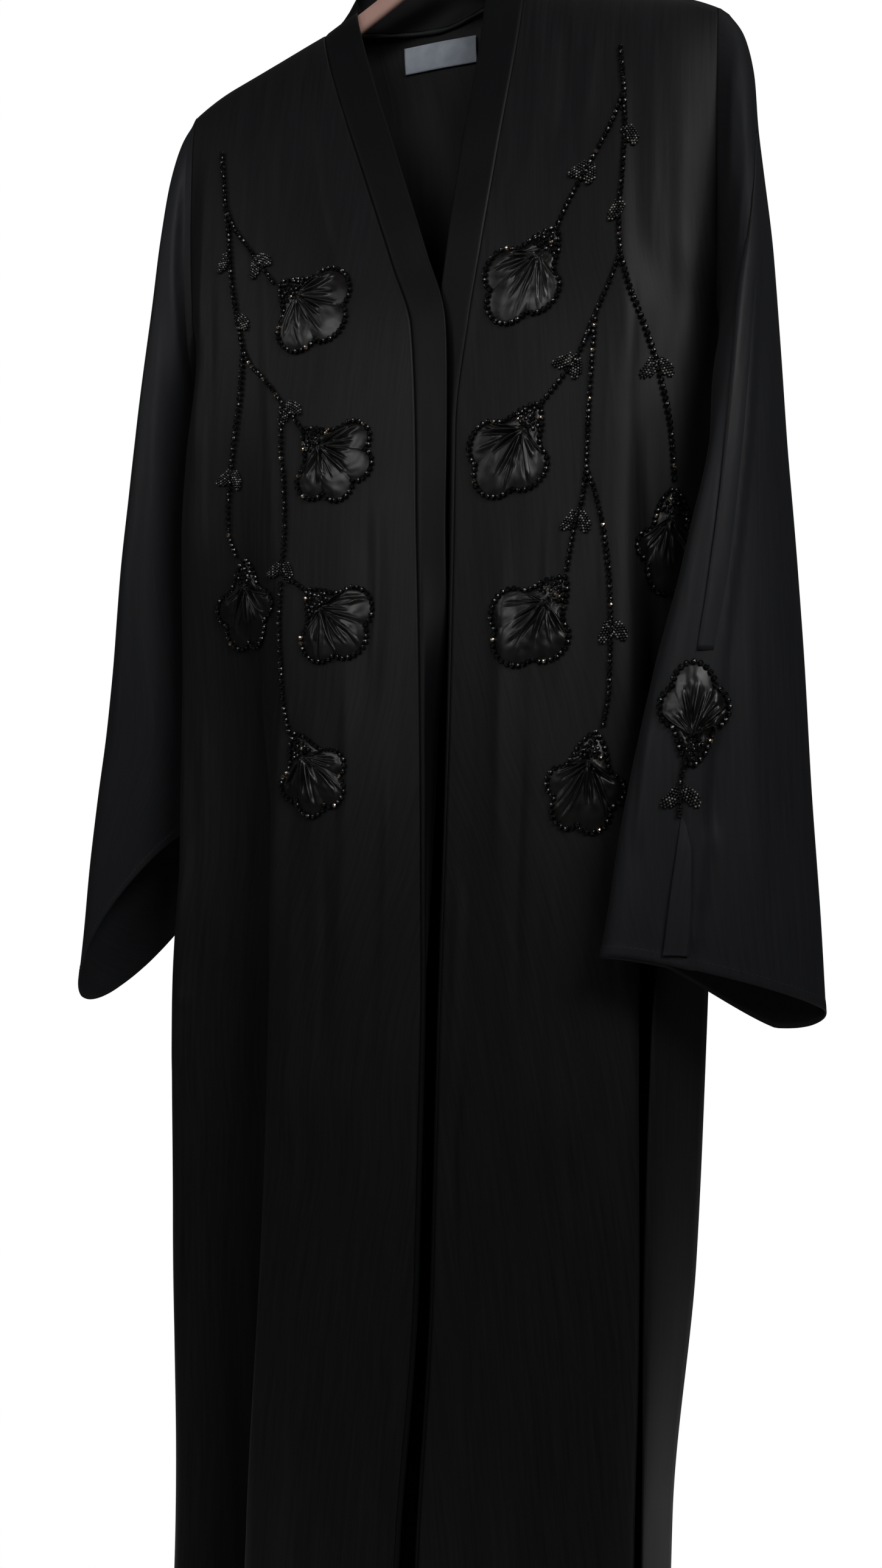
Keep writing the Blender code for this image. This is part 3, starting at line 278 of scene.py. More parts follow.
# Fine samples of each piece of cloth
CLOTH = 0.7 * MM
# Levels of the first two rows below the shoulder
FIRST_ROW = 1.2 * MM
SECOND_ROW = 3 * MM
FINE_FRONT_STEPS = (10, 14, 10, 22, 12, 26, 34)
FINE_FRONT_ROWS = 230
FINE_BACK_STEPS = (14, 12, 18, 18, 12, 14)
FINE_BACK_ROWS = 190
FINE_SLEEVE_ROUND = 130
FINE_SLEEVE_RINGS = 150
FINE_BAND_ACROSS = 12
NECK_BAND_ACROSS = 16
PETAL_RINGS = 24
PETAL_COLUMNS = 180
PETAL_UNDERSIDE = 0.25 * MM
# Heights of the petals' billows, crumples and pad, and the least height
BILLOW = 0.6 * MM
CRUMPLE = 0.22 * MM
PAD = 1.6 * MM
LEAST_HEIGHT = 0.5 * MM
PLEATS = 13
GATHER_SHARE = 0.25
PLEAT_EDGE = 0.006

# Creases of the fronts: three points of the path as x and z,
# how far the crease reaches to the right and the left of it, and its height,
# which is negative for a trough. Every crease fades at both ends.
RIGHT_FRONT_CREASES = (
    (-.186, -.19, -.184, -.33, -.186, -.48, .007, .004, .0016),
    (-.176, -.26, -.172, -.42, -.176, -.56, .004, .008, -.0014),
    (-.152, -.17, -.146, -.24, -.14, -.33, .009, .006, .0013),
    (-.12, -.15, -.118, -.21, -.112, -.29, .006, .01, .0012),
    (-.098, -.18, -.084, -.26, -.06, -.33, .008, .005, -.0012),
    (-.133, -.6, -.146, -.69, -.152, -.78, .006, .009, .0022),
    (-.12, -.58, -.128, -.63, -.131, -.7, .005, .004, -.002),
    (-.096, -.61, -.1, -.7, -.101, -.82, .004, .007, .0018),
    (-.112, -.68, -.115, -.8, -.116, -.96, .006, .005, -.0016),
    (-.08, -.73, -.084, -.83, -.082, -.98, .007, .009, .002),
    (-.06, -.72, -.058, -.8, -.062, -.9, .005, .006, -.0016),
    (-.046, -.6, -.044, -.72, -.048, -.86, .006, .008, .0017),
    (-.03, -.47, -.026, -.56, -.028, -.64, .005, .007, .0015),
    (-.016, -.64, -.014, -.78, -.016, -.92, .004, .006, .0014),
    (-.07, -.96, -.066, -1.12, -.072, -1.3, .012, .014, .003),
    (-.038, -.9, -.034, -1.05, -.04, -1.2, .01, .012, -.0022),
    (-.192, -.72, -.199, -.84, -.198, -.96, .006, .005, .0038),
    (-.188, -.93, -.192, -1.02, -.197, -1.12, .005, .004, -.004),
    (-.182, -.62, -.18, -.74, -.183, -.85, .006, .008, .003),
    (-.202, -.845, -.194, -.849, -.184, -.846, .003, .002, .003),
)
LEFT_FRONT_CREASES = (
    (.076, -.13, .078, -.2, .07, -.3, .006, .009, .0009),
    (.094, -.14, .098, -.21, .094, -.26, .005, .007, -.0012),
    (.06, -.23, .048, -.3, .04, -.36, .005, .004, .0018),
    (.052, -.26, .042, -.33, .034, -.4, .003, .005, -.0014),
    (.118, -.15, .116, -.19, .112, -.24, .006, .006, .0012),
    (.158, -.16, .16, -.26, .158, -.34, .008, .005, .0006),
    (.172, -.19, .172, -.29, .174, -.4, .005, .007, -.0006),
    (.15, -.32, .147, -.44, .148, -.58, .006, .005, .0009),
    (.134, -.35, .13, -.47, .128, -.6, .006, .006, .0012),
    (.098, -.48, .096, -.54, .099, -.64, .005, .006, .0012),
    (.066, -.5, .064, -.62, .068, -.78, .006, .008, .0016),
    (.082, -.64, .079, -.74, .082, -.88, .005, .005, -.0014),
    (.106, -.7, .104, -.8, .108, -.96, .007, .006, .0016),
    (.142, -.69, .144, -.82, .142, -.98, .006, .008, -.0016),
    (.038, -.74, .034, -.84, .031, -.92, .007, .005, .0022),
    (.042, -.88, .036, -.93, .04, -1, .005, .004, -.0022),
    (.09, -.96, .086, -1.12, .09, -1.3, .014, .012, .0028),
    (.12, -1, .118, -1.15, .112, -1.32, .01, .01, -.0022),
    (.054, -.98, .056, -1.12, .05, -1.28, .01, .009, .0018),
)
BACK_CREASES = (
    (-.15, -.2, -.12, -.29, -.07, -.35, .01, .012, .0022),
    (.13, -.19, .1, -.28, .05, -.34, .012, .01, .002),
    (-.08, -.17, -.076, -.33, -.09, -.52, .01, .012, -.0018),
    (.06, -.18, .062, -.34, .076, -.52, .012, .01, -.0018),
    (-.15, -.56, -.155, -.78, -.15, -1.02, .012, .01, .0024),
    (-.09, -.64, -.086, -.86, -.092, -1.14, .01, .012, -.0022),
    (-.01, -.52, -.012, -.76, -.006, -1.06, .012, .012, .0022),
    (.07, -.7, .074, -.9, .07, -1.2, .01, .012, -.0022),
    (.15, -.6, .148, -.82, .152, -1.06, .01, .01, .0022),
)
# Creases of the sleeves, given on the front and the back alike as x and z
LEFT_SLEEVE_CREASES = (
    (.214, -.17, .213, -.26, .208, -.34, .005, .004, .0022),
    (.222, -.2, .222, -.3, .214, -.4, .004, .006, -.0018),
    (.236, -.26, .24, -.4, .236, -.52, .006, .008, .0014),
    (.213, -.64, .211, -.68, .208, -.73, .006, .005, -.0034),
    (.172, -.64, .168, -.69, .164, -.74, .004, .003, .0016),
    (.226, -.56, .232, -.68, .236, -.79, .01, .008, .0018),
    (.196, -.42, .186, -.52, .176, -.6, .005, .006, -.0016),
)
RIGHT_SLEEVE_CREASES = (
    (-.212, -.19, -.216, -.3, -.214, -.42, .005, .004, .002),
    (-.226, -.26, -.234, -.38, -.24, -.5, .006, .005, -.0014),
    (-.246, -.46, -.256, -.58, -.266, -.7, .007, .006, .0014),
    (-.22, -.5, -.224, -.6, -.222, -.69, .005, .007, .0016),
)

# Relief fades to nothing from the far to the near distance of a sewn edge
FADE_NEAR = 1 * MM
FADE_FAR = 16 * MM
# Hanging cloth is calm to the first of these depths and fully uneven at the second
CALM_DEPTH = 0.30
UNEVEN_DEPTH = 0.65
CALM_SHARE = 0.3
# Gentle unevenness of hanging cloth: width of a wave, how far along the cloth
# it drifts, and its height
DRAPE_WAVES = (
    (.083, .81, .0008),
    (.047, .63, .0004),
    (.031, .97, .00022),
    (.019, .76, .00013),
    (.0115, 1.12, .00009),
    (.0072, 1.4, .00005),
)

SEAM_SINK = 0.45 * MM
# The roll along the free edge of each front band
BAND_FOLD = 0.6 * MM
BAND_FOLD_START = -0.62
NECK_ROLL = 1.5 * MM
# Where the inner fold of the left sleeve swells towards the body
UNDERARM_SWELL = 9 * MM
UNDERARM_SWELL_LEVEL = -0.415
UNDERARM_SWELL_REACH = 0.055
PLEAT_ROWS = 110
PLEAT_STEPS = 9
# The lifted edge of the long pleat on the left sleeve: level, then the two
# sides of the strip as x, each with its height above the sleeve
UPPER_PLEAT = (
    (-.236, .2271, -.0004, .234, -.0012),
    (-.285, .2271, .0006, .237, -.0014),
    (-.325, .2254, .0014, .237, -.0014),
    (-.368, .221, .0018, .235, -.0014),
    (-.4215, .2178, .0018, .233, -.0014),
    (-.4735, .214, .0018, .23, -.0014),
    (-.549, .2064, .0016, .224, -.0014),
    (-.604, .1994, .001, .217, -.0014),
)
LOWER_PLEAT = (
    (-.706, .1912, .0002, .1935, -.0012),
    (-.718, .1898, .0012, .1958, 0),
    (-.729, .1885, .0018, .1978, .0008),
    (-.753, .1853, .0022, .1981, .0014),
    (-.777, .1826, .0024, .1972, .0018),
    (-.7925, .1807, .0024, .1962, .0018),
)
HEM_DEPTH = 6.5 * MM
HEM_RISE = 0.35 * MM
HEM_SOFTNESS = 1.2 * MM
STITCH_LENGTH = 2.6 * MM
STITCH_PITCH = 3.4 * MM
STITCH_WIDTH = 0.35 * MM

# Beads
BEAD = 4.0 * MM
BEAD_PITCH = 4.15 * MM
SEED_BEAD = 2.0 * MM
CALYX_BEAD = 3.4 * MM
# Share of a bead's size that its centre stands above the cloth
BEAD_STAND = 0.46
BRIGHT_SHARE = 0.045
BRIGHT_SEED_SHARE = 0.36
CALYX_REACH = 15 * MM
# Strings of beads on each piece of cloth, as x and z along each
STRINGS = {
    "right": (
        ((-.1706, -.208), (-.166, -.236), (-.1637, -.2514)),
        ((-.1637, -.2514), (-.156, -.268), (-.1459, -.2815), (-.1303, -.302), (-.1158, -.3205)),
        ((-.1637, -.2514), (-.159, -.275), (-.1554, -.3012), (-.1505, -.328), (-.1409, -.3667)),
        ((-.1409, -.3667), (-.133, -.38), (-.1218, -.3905), (-.104, -.412)),
        ((-.104, -.412), (-.0955, -.4225), (-.087, -.433)),
        ((-.104, -.412), (-.1035, -.445), (-.1, -.4737), (-.0985, -.505), (-.1, -.536)),
        ((-.1, -.536), (-.09, -.543), (-.08, -.55)),
        ((-.1005, -.544), (-.101, -.57), (-.0985, -.6), (-.096, -.625), (-.09, -.65)),
        ((-.1409, -.3667), (-.1424, -.396), (-.1477, -.4313), (-.151, -.456)),
        ((-.151, -.456), (-.1535, -.484), (-.153, -.502), (-.146, -.518)),
    ),
    "left": (
        ((.1362, -.1821), (.138, -.198), (.1395, -.2145)),
        ((.1395, -.2145), (.1335, -.233), (.1241, -.2526), (.1143, -.271), (.1044, -.2894),
         (.0975, -.305)),
        ((.1395, -.2145), (.1408, -.24), (.14, -.275), (.1385, -.3021), (.14, -.33)),
        ((.14, -.33), (.133, -.351), (.1245, -.372), (.1175, -.3896)),
        ((.1245, -.372), (.114, -.398), (.102, -.415), (.09, -.429)),
        ((.1245, -.376), (.1225, -.41), (.1209, -.448), (.1203, -.476)),
        ((.1203, -.476), (.1185, -.495), (.1137, -.5137), (.1085, -.544)),
        ((.1203, -.476), (.127, -.495), (.133, -.523), (.1368, -.555), (.138, -.5917), (.1375, -.625),
         (.1345, -.648)),
        ((.14, -.33), (.147, -.356), (.1563, -.3819), (.1659, -.4145), (.172, -.447), (.1745, -.482)),
    ),
    "sleeve": (
        ((.1931, -.674), (.1905, -.688), (.19, -.706)),
    ),
}
# Leaves on each piece of cloth: the point where they leave their string as x
# and z, and how each points in degrees from straight down towards +X
LEAVES = {
    "right": ((-.133, -.2985, (-8, 62)), (-.159, -.29, (-30,)), (-.148, -.34, (39,)),
        (-.1015, -.4135, (-12, 58)), (-.0995, -.529, (-58, 20)), (-.15, -.456, (-62, 24)),),
    "left": ((.117, -.264, (-62, 0)), (.1405, -.24, (27,)), (.1395, -.293, (-30,)), (.111, -.4, (-76, 0)),
        (.115, -.506, (-45, 24)), (.1375, -.58, (-23, 36)), (.1625, -.402, (-35, 42)),),
    "sleeve": ((.1902, -.69, (-46, 45)),),
}
LEAF_LENGTH = 16.5 * MM
LEAF_WIDTH = 10 * MM
LEAF_MARGIN = 0.3 * MM
LEAF_SWERVE = 1.2 * MM
LEAF_DOME = 0.7 * MM
SEED_ROW = 1.75 * MM
SEED_STEP = 1.9 * MM

# Camera, with the picture's size in pixels and the sizes that fit its view
PICTURE = (1449, 2576)
CAMERA_PLACE = (0.3311, -0.9436, -0.6870)
CAMERA_TURN = math.radians(19.5)
FOCAL_PIXELS = 2231
SENSOR = 36.0
SURROUND_STRENGTH = 0.022
FLOOR_HALF = 4.0
FLOOR_GAP = 0.06
# Lights: name, place, the point they face, width and height, power in watts
# and how wide the beam spreads in degrees
LIGHTS = (
    ("key", (1.30, -1.20, 0.50), (-0.06, 0, -0.28), (0.9, 0.7), 4.9, 110),
    ("front", (-0.25, -1.60, 0.10), (0.00, 0, -0.52), (0.8, 0.5), 0.65, 70),
    ("left", (-1.30, -1.00, 0.30), (-0.15, 0, -0.40), (0.6, 0.6), 0.75, 120),
    ("top", (0.05, 0.15, 1.0), (0, 0, -0.2), (1.2, 0.5), 0.5, 150),
    ("behind", (-0.70, 1.80, 0.40), (0, 0, -0.55), (0.9, 0.9), 7.0, 90),
)

# Each cloth's dark and light colour, roughness and depth of grain
BODY_COLOURS = ((0.0072, 0.0073, 0.0084), (0.0166, 0.0168, 0.0186))
# The sleeves are the body's satin with lighter colours: painted light on the sleeves.
SLEEVE_PAINTED_LIGHTER_COLOURS = ((0.0150, 0.0156, 0.0176), (0.0235, 0.0244, 0.0270))
CLOTH_LOOKS = {
    "front_right": (*BODY_COLOURS, 0.44, 0.8),
    "front_left": (*BODY_COLOURS, 0.46, 1.0),
    "back": (*BODY_COLOURS, 0.45, 0.8),
    "sleeve_right": (*SLEEVE_PAINTED_LIGHTER_COLOURS, 0.46, 0.6),
    "sleeve_left": (*SLEEVE_PAINTED_LIGHTER_COLOURS, 0.46, 0.6),
}


def smooth(keys, values, at):
    """Values at the given keys on a curve through every row that never overshoots."""
    keys = np.asarray(keys, dtype=float)
    values = np.asarray(values, dtype=float)
    at = np.asarray(at, dtype=float)
    step = np.diff(keys)[:, None]
    slope = np.diff(values, axis=0) / step
    product = slope[:-1] * slope[1:]
    total = slope[:-1] + slope[1:]
    total = np.where(np.abs(total) < 1e-12, 1.0, total)
    tangent = np.zeros_like(values)
    tangent[0] = slope[0]
    tangent[-1] = slope[-1]
    tangent[1:-1] = np.where(product > 0, 2 * product / total, 0)
    place = np.clip(np.searchsorted(keys, at, side="right") - 1, 0, len(keys) - 2)
    width = (keys[place + 1] - keys[place])[:, None]
    t = (at[:, None] - keys[place][:, None]) / width
    start = values[place]
    end = values[place + 1]
    start_bend = (2 * t**3 - 3 * t**2 + 1) * start + (t**3 - 2 * t**2 + t) * width * tangent[place]
    end_bend = (3 * t**2 - 2 * t**3) * end + (t**3 - t**2) * width * tangent[place + 1]
    return start_bend + end_bend


def run_along(points):
    """How far along a line of points each of them lies."""
    return np.concatenate(((0,), np.cumsum(np.linalg.norm(np.diff(points, axis=0), axis=1))))


def soft_step(value, start, end):
    t = np.clip((value - start) / (end - start), 0, 1)
    return t * t * (3 - 2 * t)


def unit(vectors):
    length = np.linalg.norm(vectors, axis=-1, keepdims=True)
    return vectors / np.maximum(length, 1e-12)


class Side:
    """One half of the garment: its shoulder line, front, band and sleeve."""

    def __init__(self, sign, neck_x, neck_z, shoulder_slope, rows, band_rows, sleeve_rows, hem_skew):
        self.sign = sign
        self.neck_x = neck_x
        self.neck_z = neck_z
        self.shoulder_slope = shoulder_slope
        self.rows = np.array(rows)
        self.band_rows = np.array(band_rows, dtype=float)
        self.sleeve_rows = np.array(sleeve_rows, dtype=float)
        self.hem_skew = hem_skew
        self.armhole_x = self.rows[0, 1]


RIGHT = Side(-1, -0.0955, -0.1190, 0.364, RIGHT_FRONT_ROWS, RIGHT_BAND_ROWS, RIGHT_SLEEVE_ROWS, 0)
LEFT = Side(1, 0.0665, -0.1061, 0.331, LEFT_FRONT_ROWS, LEFT_BAND_ROWS, LEFT_SLEEVE_ROWS, 1)


def shoulder_height(side, x):
    """Height of the shoulder seam above x, rounded down at the tip."""
    out = np.maximum(side.sign * (np.asarray(x, dtype=float) - side.neck_x), 0)
    tip = np.maximum(side.sign * np.asarray(x, dtype=float) - SHOULDER_TIP_START, 0) / SHOULDER_TIP_REACH
    return side.neck_z - side.shoulder_slope * out - SHOULDER_TIP_DROP * tip**2


def tilted_height(top, level):
    """Rows lie along the top edge at the top and level from the underarm down."""
    share = (level - UNDERARM_LEVEL) / (TOP_LEVEL - UNDERARM_LEVEL)
    tilted = UNDERARM_LEVEL + share * (top - UNDERARM_LEVEL)
    return np.where(level > UNDERARM_LEVEL, tilted, level)


def front_stations(side, levels):
    """Station points (x, y) of a front at each level, with the crest of the fold added."""
    rows = smooth(-side.rows[:, 0], side.rows[:, 1:], -np.asarray(levels))
    points = rows.reshape(len(rows), -1, 2)
    beyond = FRONT_STATIONS.index("middle")
    lip = points[:, FRONT_STATIONS.index("lip")]
    share = np.array((CREST_ACROSS, CREST_FORWARD))
    crest = lip + share * (points[:, beyond] - lip)
    return np.concatenate((points[:, :beyond], crest[:, None], points[:, beyond:]), axis=1)


def front_surface(side, levels, across):
    """Middle surface of a front: one row for each level, across in station numbers."""
    levels = np.asarray(levels, dtype=float)
    across = np.asarray(across, dtype=float)
    surface = np.zeros((len(levels), len(across), 3))
    for row, stations in enumerate(front_stations(side, levels)):
        keys = run_along(stations)
        at = np.interp(across, np.arange(len(keys)), keys)
        surface[row, :, :2] = smooth(keys, stations, at)
    top = shoulder_height(side, surface[:, :, 0])
    surface[:, :, 2] = tilted_height(top, levels[:, None])
    return surface


def side_seam(side, levels):
    """Where the back meets the side: the armhole above the underarm, the seam below."""
    rows = smooth(-side.rows[:, 0], side.rows[:, 1:3], -np.asarray(levels))
    above = np.asarray(levels) > UNDERARM_LEVEL
    back_y = np.where(above, -rows[:, 1], rows[:, 1] + SEAM_GAP)
    return np.stack((rows[:, 0], back_y), axis=1)


def back_top(x):
    """Height of the back panel's top edge: two shoulders and the neckline."""
    neck = np.array(BACK_NECKLINE)
    within = np.clip(x, neck[0, 0], neck[-1, 0])
    neckline = smooth(neck[:, 0], neck[:, 1:], within.ravel())[:, 0].reshape(x.shape)
    right = shoulder_height(RIGHT, x)
    left = shoulder_height(LEFT, x)
    return np.where(x < RIGHT.neck_x, right, np.where(x > LEFT.neck_x, left, neckline))


def back_x(stations, across):
    """x across the back; the columns gather at the neck points, where the neckline is steep."""
    x = np.interp(across, np.arange(len(stations)), stations)
    turn = np.clip((across - 2) / 2, 0, 1) * math.pi
    rounded = (stations[2] + stations[4]) / 2 - (stations[4] - stations[2]) / 2 * np.cos(turn)
    return np.where((across > 2) & (across < 4), rounded, x)


def neck_swell(x, level):
    """How much further back the rounded neckline lies than the plain curve."""
    centre = (RIGHT.neck_x + LEFT.neck_x) / 2
    half = (LEFT.neck_x - RIGHT.neck_x) / 2
    aside = np.clip(np.abs(x - centre) / half, 0, 1)
    rounded = NECK_DEPTH * np.sqrt(1 - aside**2)
    plain = NECK_DEPTH * (1 - aside**2 * (3 - 2 * aside))
    fade = 1 - soft_step(TOP_LEVEL - level, 0, NECK_FADE)
    return fade * (rounded - plain)


def back_surface(levels, across):
    """Middle surface of the back panel, across in station numbers."""
    levels = np.asarray(levels, dtype=float)
    across = np.asarray(across, dtype=float)
    rows = np.array(BACK_ROWS)
    inner = smooth(-rows[:, 0], rows[:, 1:], -levels).reshape(len(levels), len(BACK_STATIONS), 2)
    right = side_seam(RIGHT, levels)[:, None]
    left = side_seam(LEFT, levels)[:, None]
    stations = np.concatenate((right, inner, left), axis=1)
    surface = np.zeros((len(levels), len(across), 3))
    for row, points in enumerate(stations):
        x = back_x(points[:, 0], across)
        y = smooth(points[:, 0], points[:, 1:], x)[:, 0]
        y = y + neck_swell(x, levels[row])
        for record in BACK_FOLDS:
            fold = dict(zip(BACK_FOLD_COLUMNS, record))
            grown = soft_step(-levels[row], -fold["starts"], BACK_FOLD_GROWTH - fold["starts"])
            y = y - grown * fold["depth"] * np.exp(-((x - fold["place"]) / fold["half_width"]) ** 2)
        surface[row, :, 0] = x
        surface[row, :, 1] = y
    surface[:, :, 2] = tilted_height(back_top(surface[:, :, 0]), levels[:, None])
    return surface


def surface_normals(surface, outward):
    """Unit normals of a grid of points, turned to the side that outward points to."""
    down = np.gradient(surface, axis=0)
    over = np.gradient(surface, axis=1)
    normals = unit(np.cross(over, down))
    if np.sum(normals * np.asarray(outward)) < 0:
        normals = -normals
    return normals


def front_normals(side, surface):
    normals = surface_normals(surface, (0, -1, 0))
    edge = normals[:, 0]
    edge[:, 0] = 0
    below = surface[:, 0, 2] <= UNDERARM_LEVEL + TOUCH
    edge[below] = (side.sign, 0, 0)
    normals[:, 0] = unit(edge)
    normals[0] = shoulder_normals(side, len(surface[0]))
    return normals


def shoulder_normals(side, count):
    across = np.array((side.sign * side.shoulder_slope, 0, 1.0))
    return np.tile(across / np.linalg.norm(across), (count, 1))


def back_normals(surface):
    normals = surface_normals(surface, (0, 1, 0))
    below = surface[:, 0, 2] <= UNDERARM_LEVEL + TOUCH
    for column, side in ((0, RIGHT), (-1, LEFT)):
        edge = normals[:, column]
        edge[:, 0] = 0
        edge[below] = (side.sign, 0, 0)
        normals[:, column] = unit(edge)
        on_shoulder = side.sign * (surface[0, :, 0] - side.neck_x) >= -TOUCH
        normals[0, on_shoulder] = shoulder_normals(side, int(on_shoulder.sum()))
    return normals


def span_fractions(steps):
    """Station numbers from 0 with the given number of samples in each span."""
    values = [0.0]
    for span, count in enumerate(steps):
        values.extend(span + (index + 1) / count for index in range(count))
    return np.array(values)


def ribbon(edge, normals, away, widths, turns, across):
    """A band sewn to an edge: it runs away from the edge and turns inwards by an angle."""
    share = np.linspace(0, 1, 41)
    turned = soft_step(share, 0, BAND_TURN_WIDTH)
    surface = np.zeros((len(edge), len(across), 3))
    band_normals = np.zeros_like(surface)
    for row in range(len(edge)):
        angle = math.radians(turns[row]) * turned
        forward = np.concatenate(((0,), np.cumsum((np.cos(angle[1:]) + np.cos(angle[:-1])) / 2)))
        inward = np.concatenate(((0,), np.cumsum((np.sin(angle[1:]) + np.sin(angle[:-1])) / 2)))
        scale = (widths[row] - SEAM_GAP) / (len(share) - 1)
        forward = np.interp(across, share, forward) * scale + SEAM_GAP
        inward = np.interp(across, share, inward) * scale
        here = np.interp(across, share, angle)
        surface[row] = edge[row] + forward[:, None] * away[row] - inward[:, None] * normals[row]
        band_normals[row] = np.cos(here)[:, None] * normals[row] + np.sin(here)[:, None] * away[row]
    return surface, band_normals


def edge_away(edge, normals, towards):
    """Directions in the cloth, square to its edge, that point to the given side."""
    along = unit(np.gradient(edge, axis=0))
    away = unit(np.cross(along, normals))
    if np.sum(away * np.asarray(towards)) < 0:
        away = -away
    return away


def neck_rise(side):
    """The way the bands climb towards the neck where they cross the shoulder."""
    slope = np.array((-side.sign, 0, NECK_RISE))
    return slope / np.linalg.norm(slope)


def armhole_ring(side, angles):
    """The sleeve's first ring, along the armhole of the front and the back."""
    share = (1 - np.cos(angles)) / 2
    top = float(shoulder_height(side, side.armhole_x))
    bottom = UNDERARM_LEVEL + UNDERARM_RISE
    z = top + share * (bottom - top)
    level_share = (z - UNDERARM_LEVEL) / (top - UNDERARM_LEVEL)
    levels = UNDERARM_LEVEL + level_share * (TOP_LEVEL - UNDERARM_LEVEL)
    y = smooth(-side.rows[:, 0], side.rows[:, 2:3], -levels)[:, 0]
    in_front = np.sin(angles) >= 0
    y = np.where(in_front, y, -y)
    ends = np.abs(np.sin(angles)) < 1e-9
    y = np.where(ends, 0, y)
    x = np.full_like(z, side.armhole_x + side.sign * SEAM_GAP)
    return np.stack((x, y, z), axis=1)


def sleeve_surface(side, rings, angles):
    """Middle surface of a sleeve, a row for each ring; ring 0 is the armhole."""
    rings = np.asarray(rings, dtype=float)
    share = (1 - np.cos(angles)) / 2
    swell = np.sin(angles)
    table = side.sleeve_rows
    numbers = np.arange(1, len(table) + 1)
    surface = np.zeros((len(rings), len(angles), 3))
    for row, ring in enumerate(rings):
        if ring < 1:
            near = sleeve_ring(table[0], share, swell, side.hem_skew)
            blend = soft_step(ring, 0, 1)
            surface[row] = armhole_ring(side, angles) * (1 - blend) + near * blend
        else:
            values = smooth(numbers, table, (ring,))[0]
            surface[row] = sleeve_ring(values, share, swell, side.hem_skew)
    return surface


def sleeve_ring(values, share, swell, hem_skew):
    """One ring of a sleeve; with a skew of 1 the back of its hem hangs lowest on the outer side."""
    ring = dict(zip(RING_COLUMNS, values))
    outer = np.array((ring["outer_x"], ring["outer_y"], ring["outer_z"]))
    inner = np.array((ring["inner_x"], ring["inner_y"], ring["inner_z"]))
    points = outer + share[:, None] * (inner - outer)
    points[:, 1] -= np.where(swell > 0, ring["front"] * swell, ring["back"] * swell)
    back_lift = ring["back_lift"] * (1 - hem_skew * np.clip(2 * share - 0.5, 0, 1))
    points[:, 2] += np.where(swell > 0, ring["front_lift"] * swell, -back_lift * swell)
    return points


def sleeve_normals(surface):
    down = np.gradient(surface, axis=0)
    over = np.roll(surface, -1, axis=1) - np.roll(surface, 1, axis=1)
    normals = unit(np.cross(over, down))
    centre = surface.mean(axis=1, keepdims=True)
    if np.sum(normals * (surface - centre)) < 0:
        normals = -normals
    edge = normals[0]
    edge[:, 0] = 0
    radial = unit(surface[0] - centre[0])
    radial[:, 0] = 0
    flat = np.linalg.norm(edge, axis=1) < 0.3
    edge[flat] = radial[flat]
    normals[0] = unit(edge)
    return normals


def flower_outline(angle, length, width, lobes):
    """Distance from the flower's centre to its edge; angle 0 points away from the calyx."""
    angle = (angle + math.pi) % (2 * math.pi) - math.pi
    plain = 1 / math.hypot(2 * math.cos(angle) / length, 2 * math.sin(angle) / width)
    if abs(angle) < LOBES_REACH:
        place = (angle / LOBES_REACH + 1) / 2
        return plain * (1 - LOBE_DEPTH * (1 - abs(math.sin(math.pi * lobes * place)) ** 0.7))
    past = (abs(angle) - LOBES_REACH) / (math.pi - LOBES_REACH)
    return plain * (1 - LOBE_DEPTH * (1 - past) - CALYX_PINCH * math.sin(math.pi * past ** 0.8))


def arm_top(x):
    """Height of the hanger's top edge: below the shoulders, rising to its neck."""
    x = np.asarray(x, dtype=float)
    right_z = float(shoulder_height(RIGHT, RIGHT.neck_x)) - ARM_CLEARANCE
    left_z = float(shoulder_height(LEFT, LEFT.neck_x)) - ARM_CLEARANCE
    rise = ((RIGHT.neck_x, right_z), *ARM_NECK_RISE, (LEFT.neck_x, left_z))
    knots = np.array(rise)
    inner = smooth(knots[:, 0], knots[:, 1:], np.clip(x, RIGHT.neck_x, LEFT.neck_x))[:, 0]
    right = shoulder_height(RIGHT, x) - ARM_CLEARANCE
    left = shoulder_height(LEFT, x) - ARM_CLEARANCE
    return np.where(x < RIGHT.neck_x, right, np.where(x > LEFT.neck_x, left, inner))


def pressed_pleat(surface, rings, angles):
    """The surface with the long pleat of the left sleeve, its two edges pressed crisp."""
    share = (1 - np.cos(angles)) / 2
    pleat = np.array(LEFT_SLEEVE_PLEAT)
    rises = smooth(pleat[:, 0], pleat[:, 1:], rings)
    raised = surface.copy()
    for row, values in enumerate(rises):
        fold = dict(zip(PLEAT_COLUMNS[1:], values))
        inside = soft_step(share, fold["near_edge"] - PLEAT_EDGE, fold["near_edge"] + PLEAT_EDGE)
        inside = inside * (1 - soft_step(share, fold["far_edge"] - PLEAT_EDGE, fold["far_edge"] + PLEAT_EDGE))
        slope = 1 - 0.75 * soft_step(share, fold["near_edge"], fold["far_edge"])
        raised[row, :, 1] -= np.where(np.sin(angles) > 0, inside * slope * fold["height"], 0)
    return raised


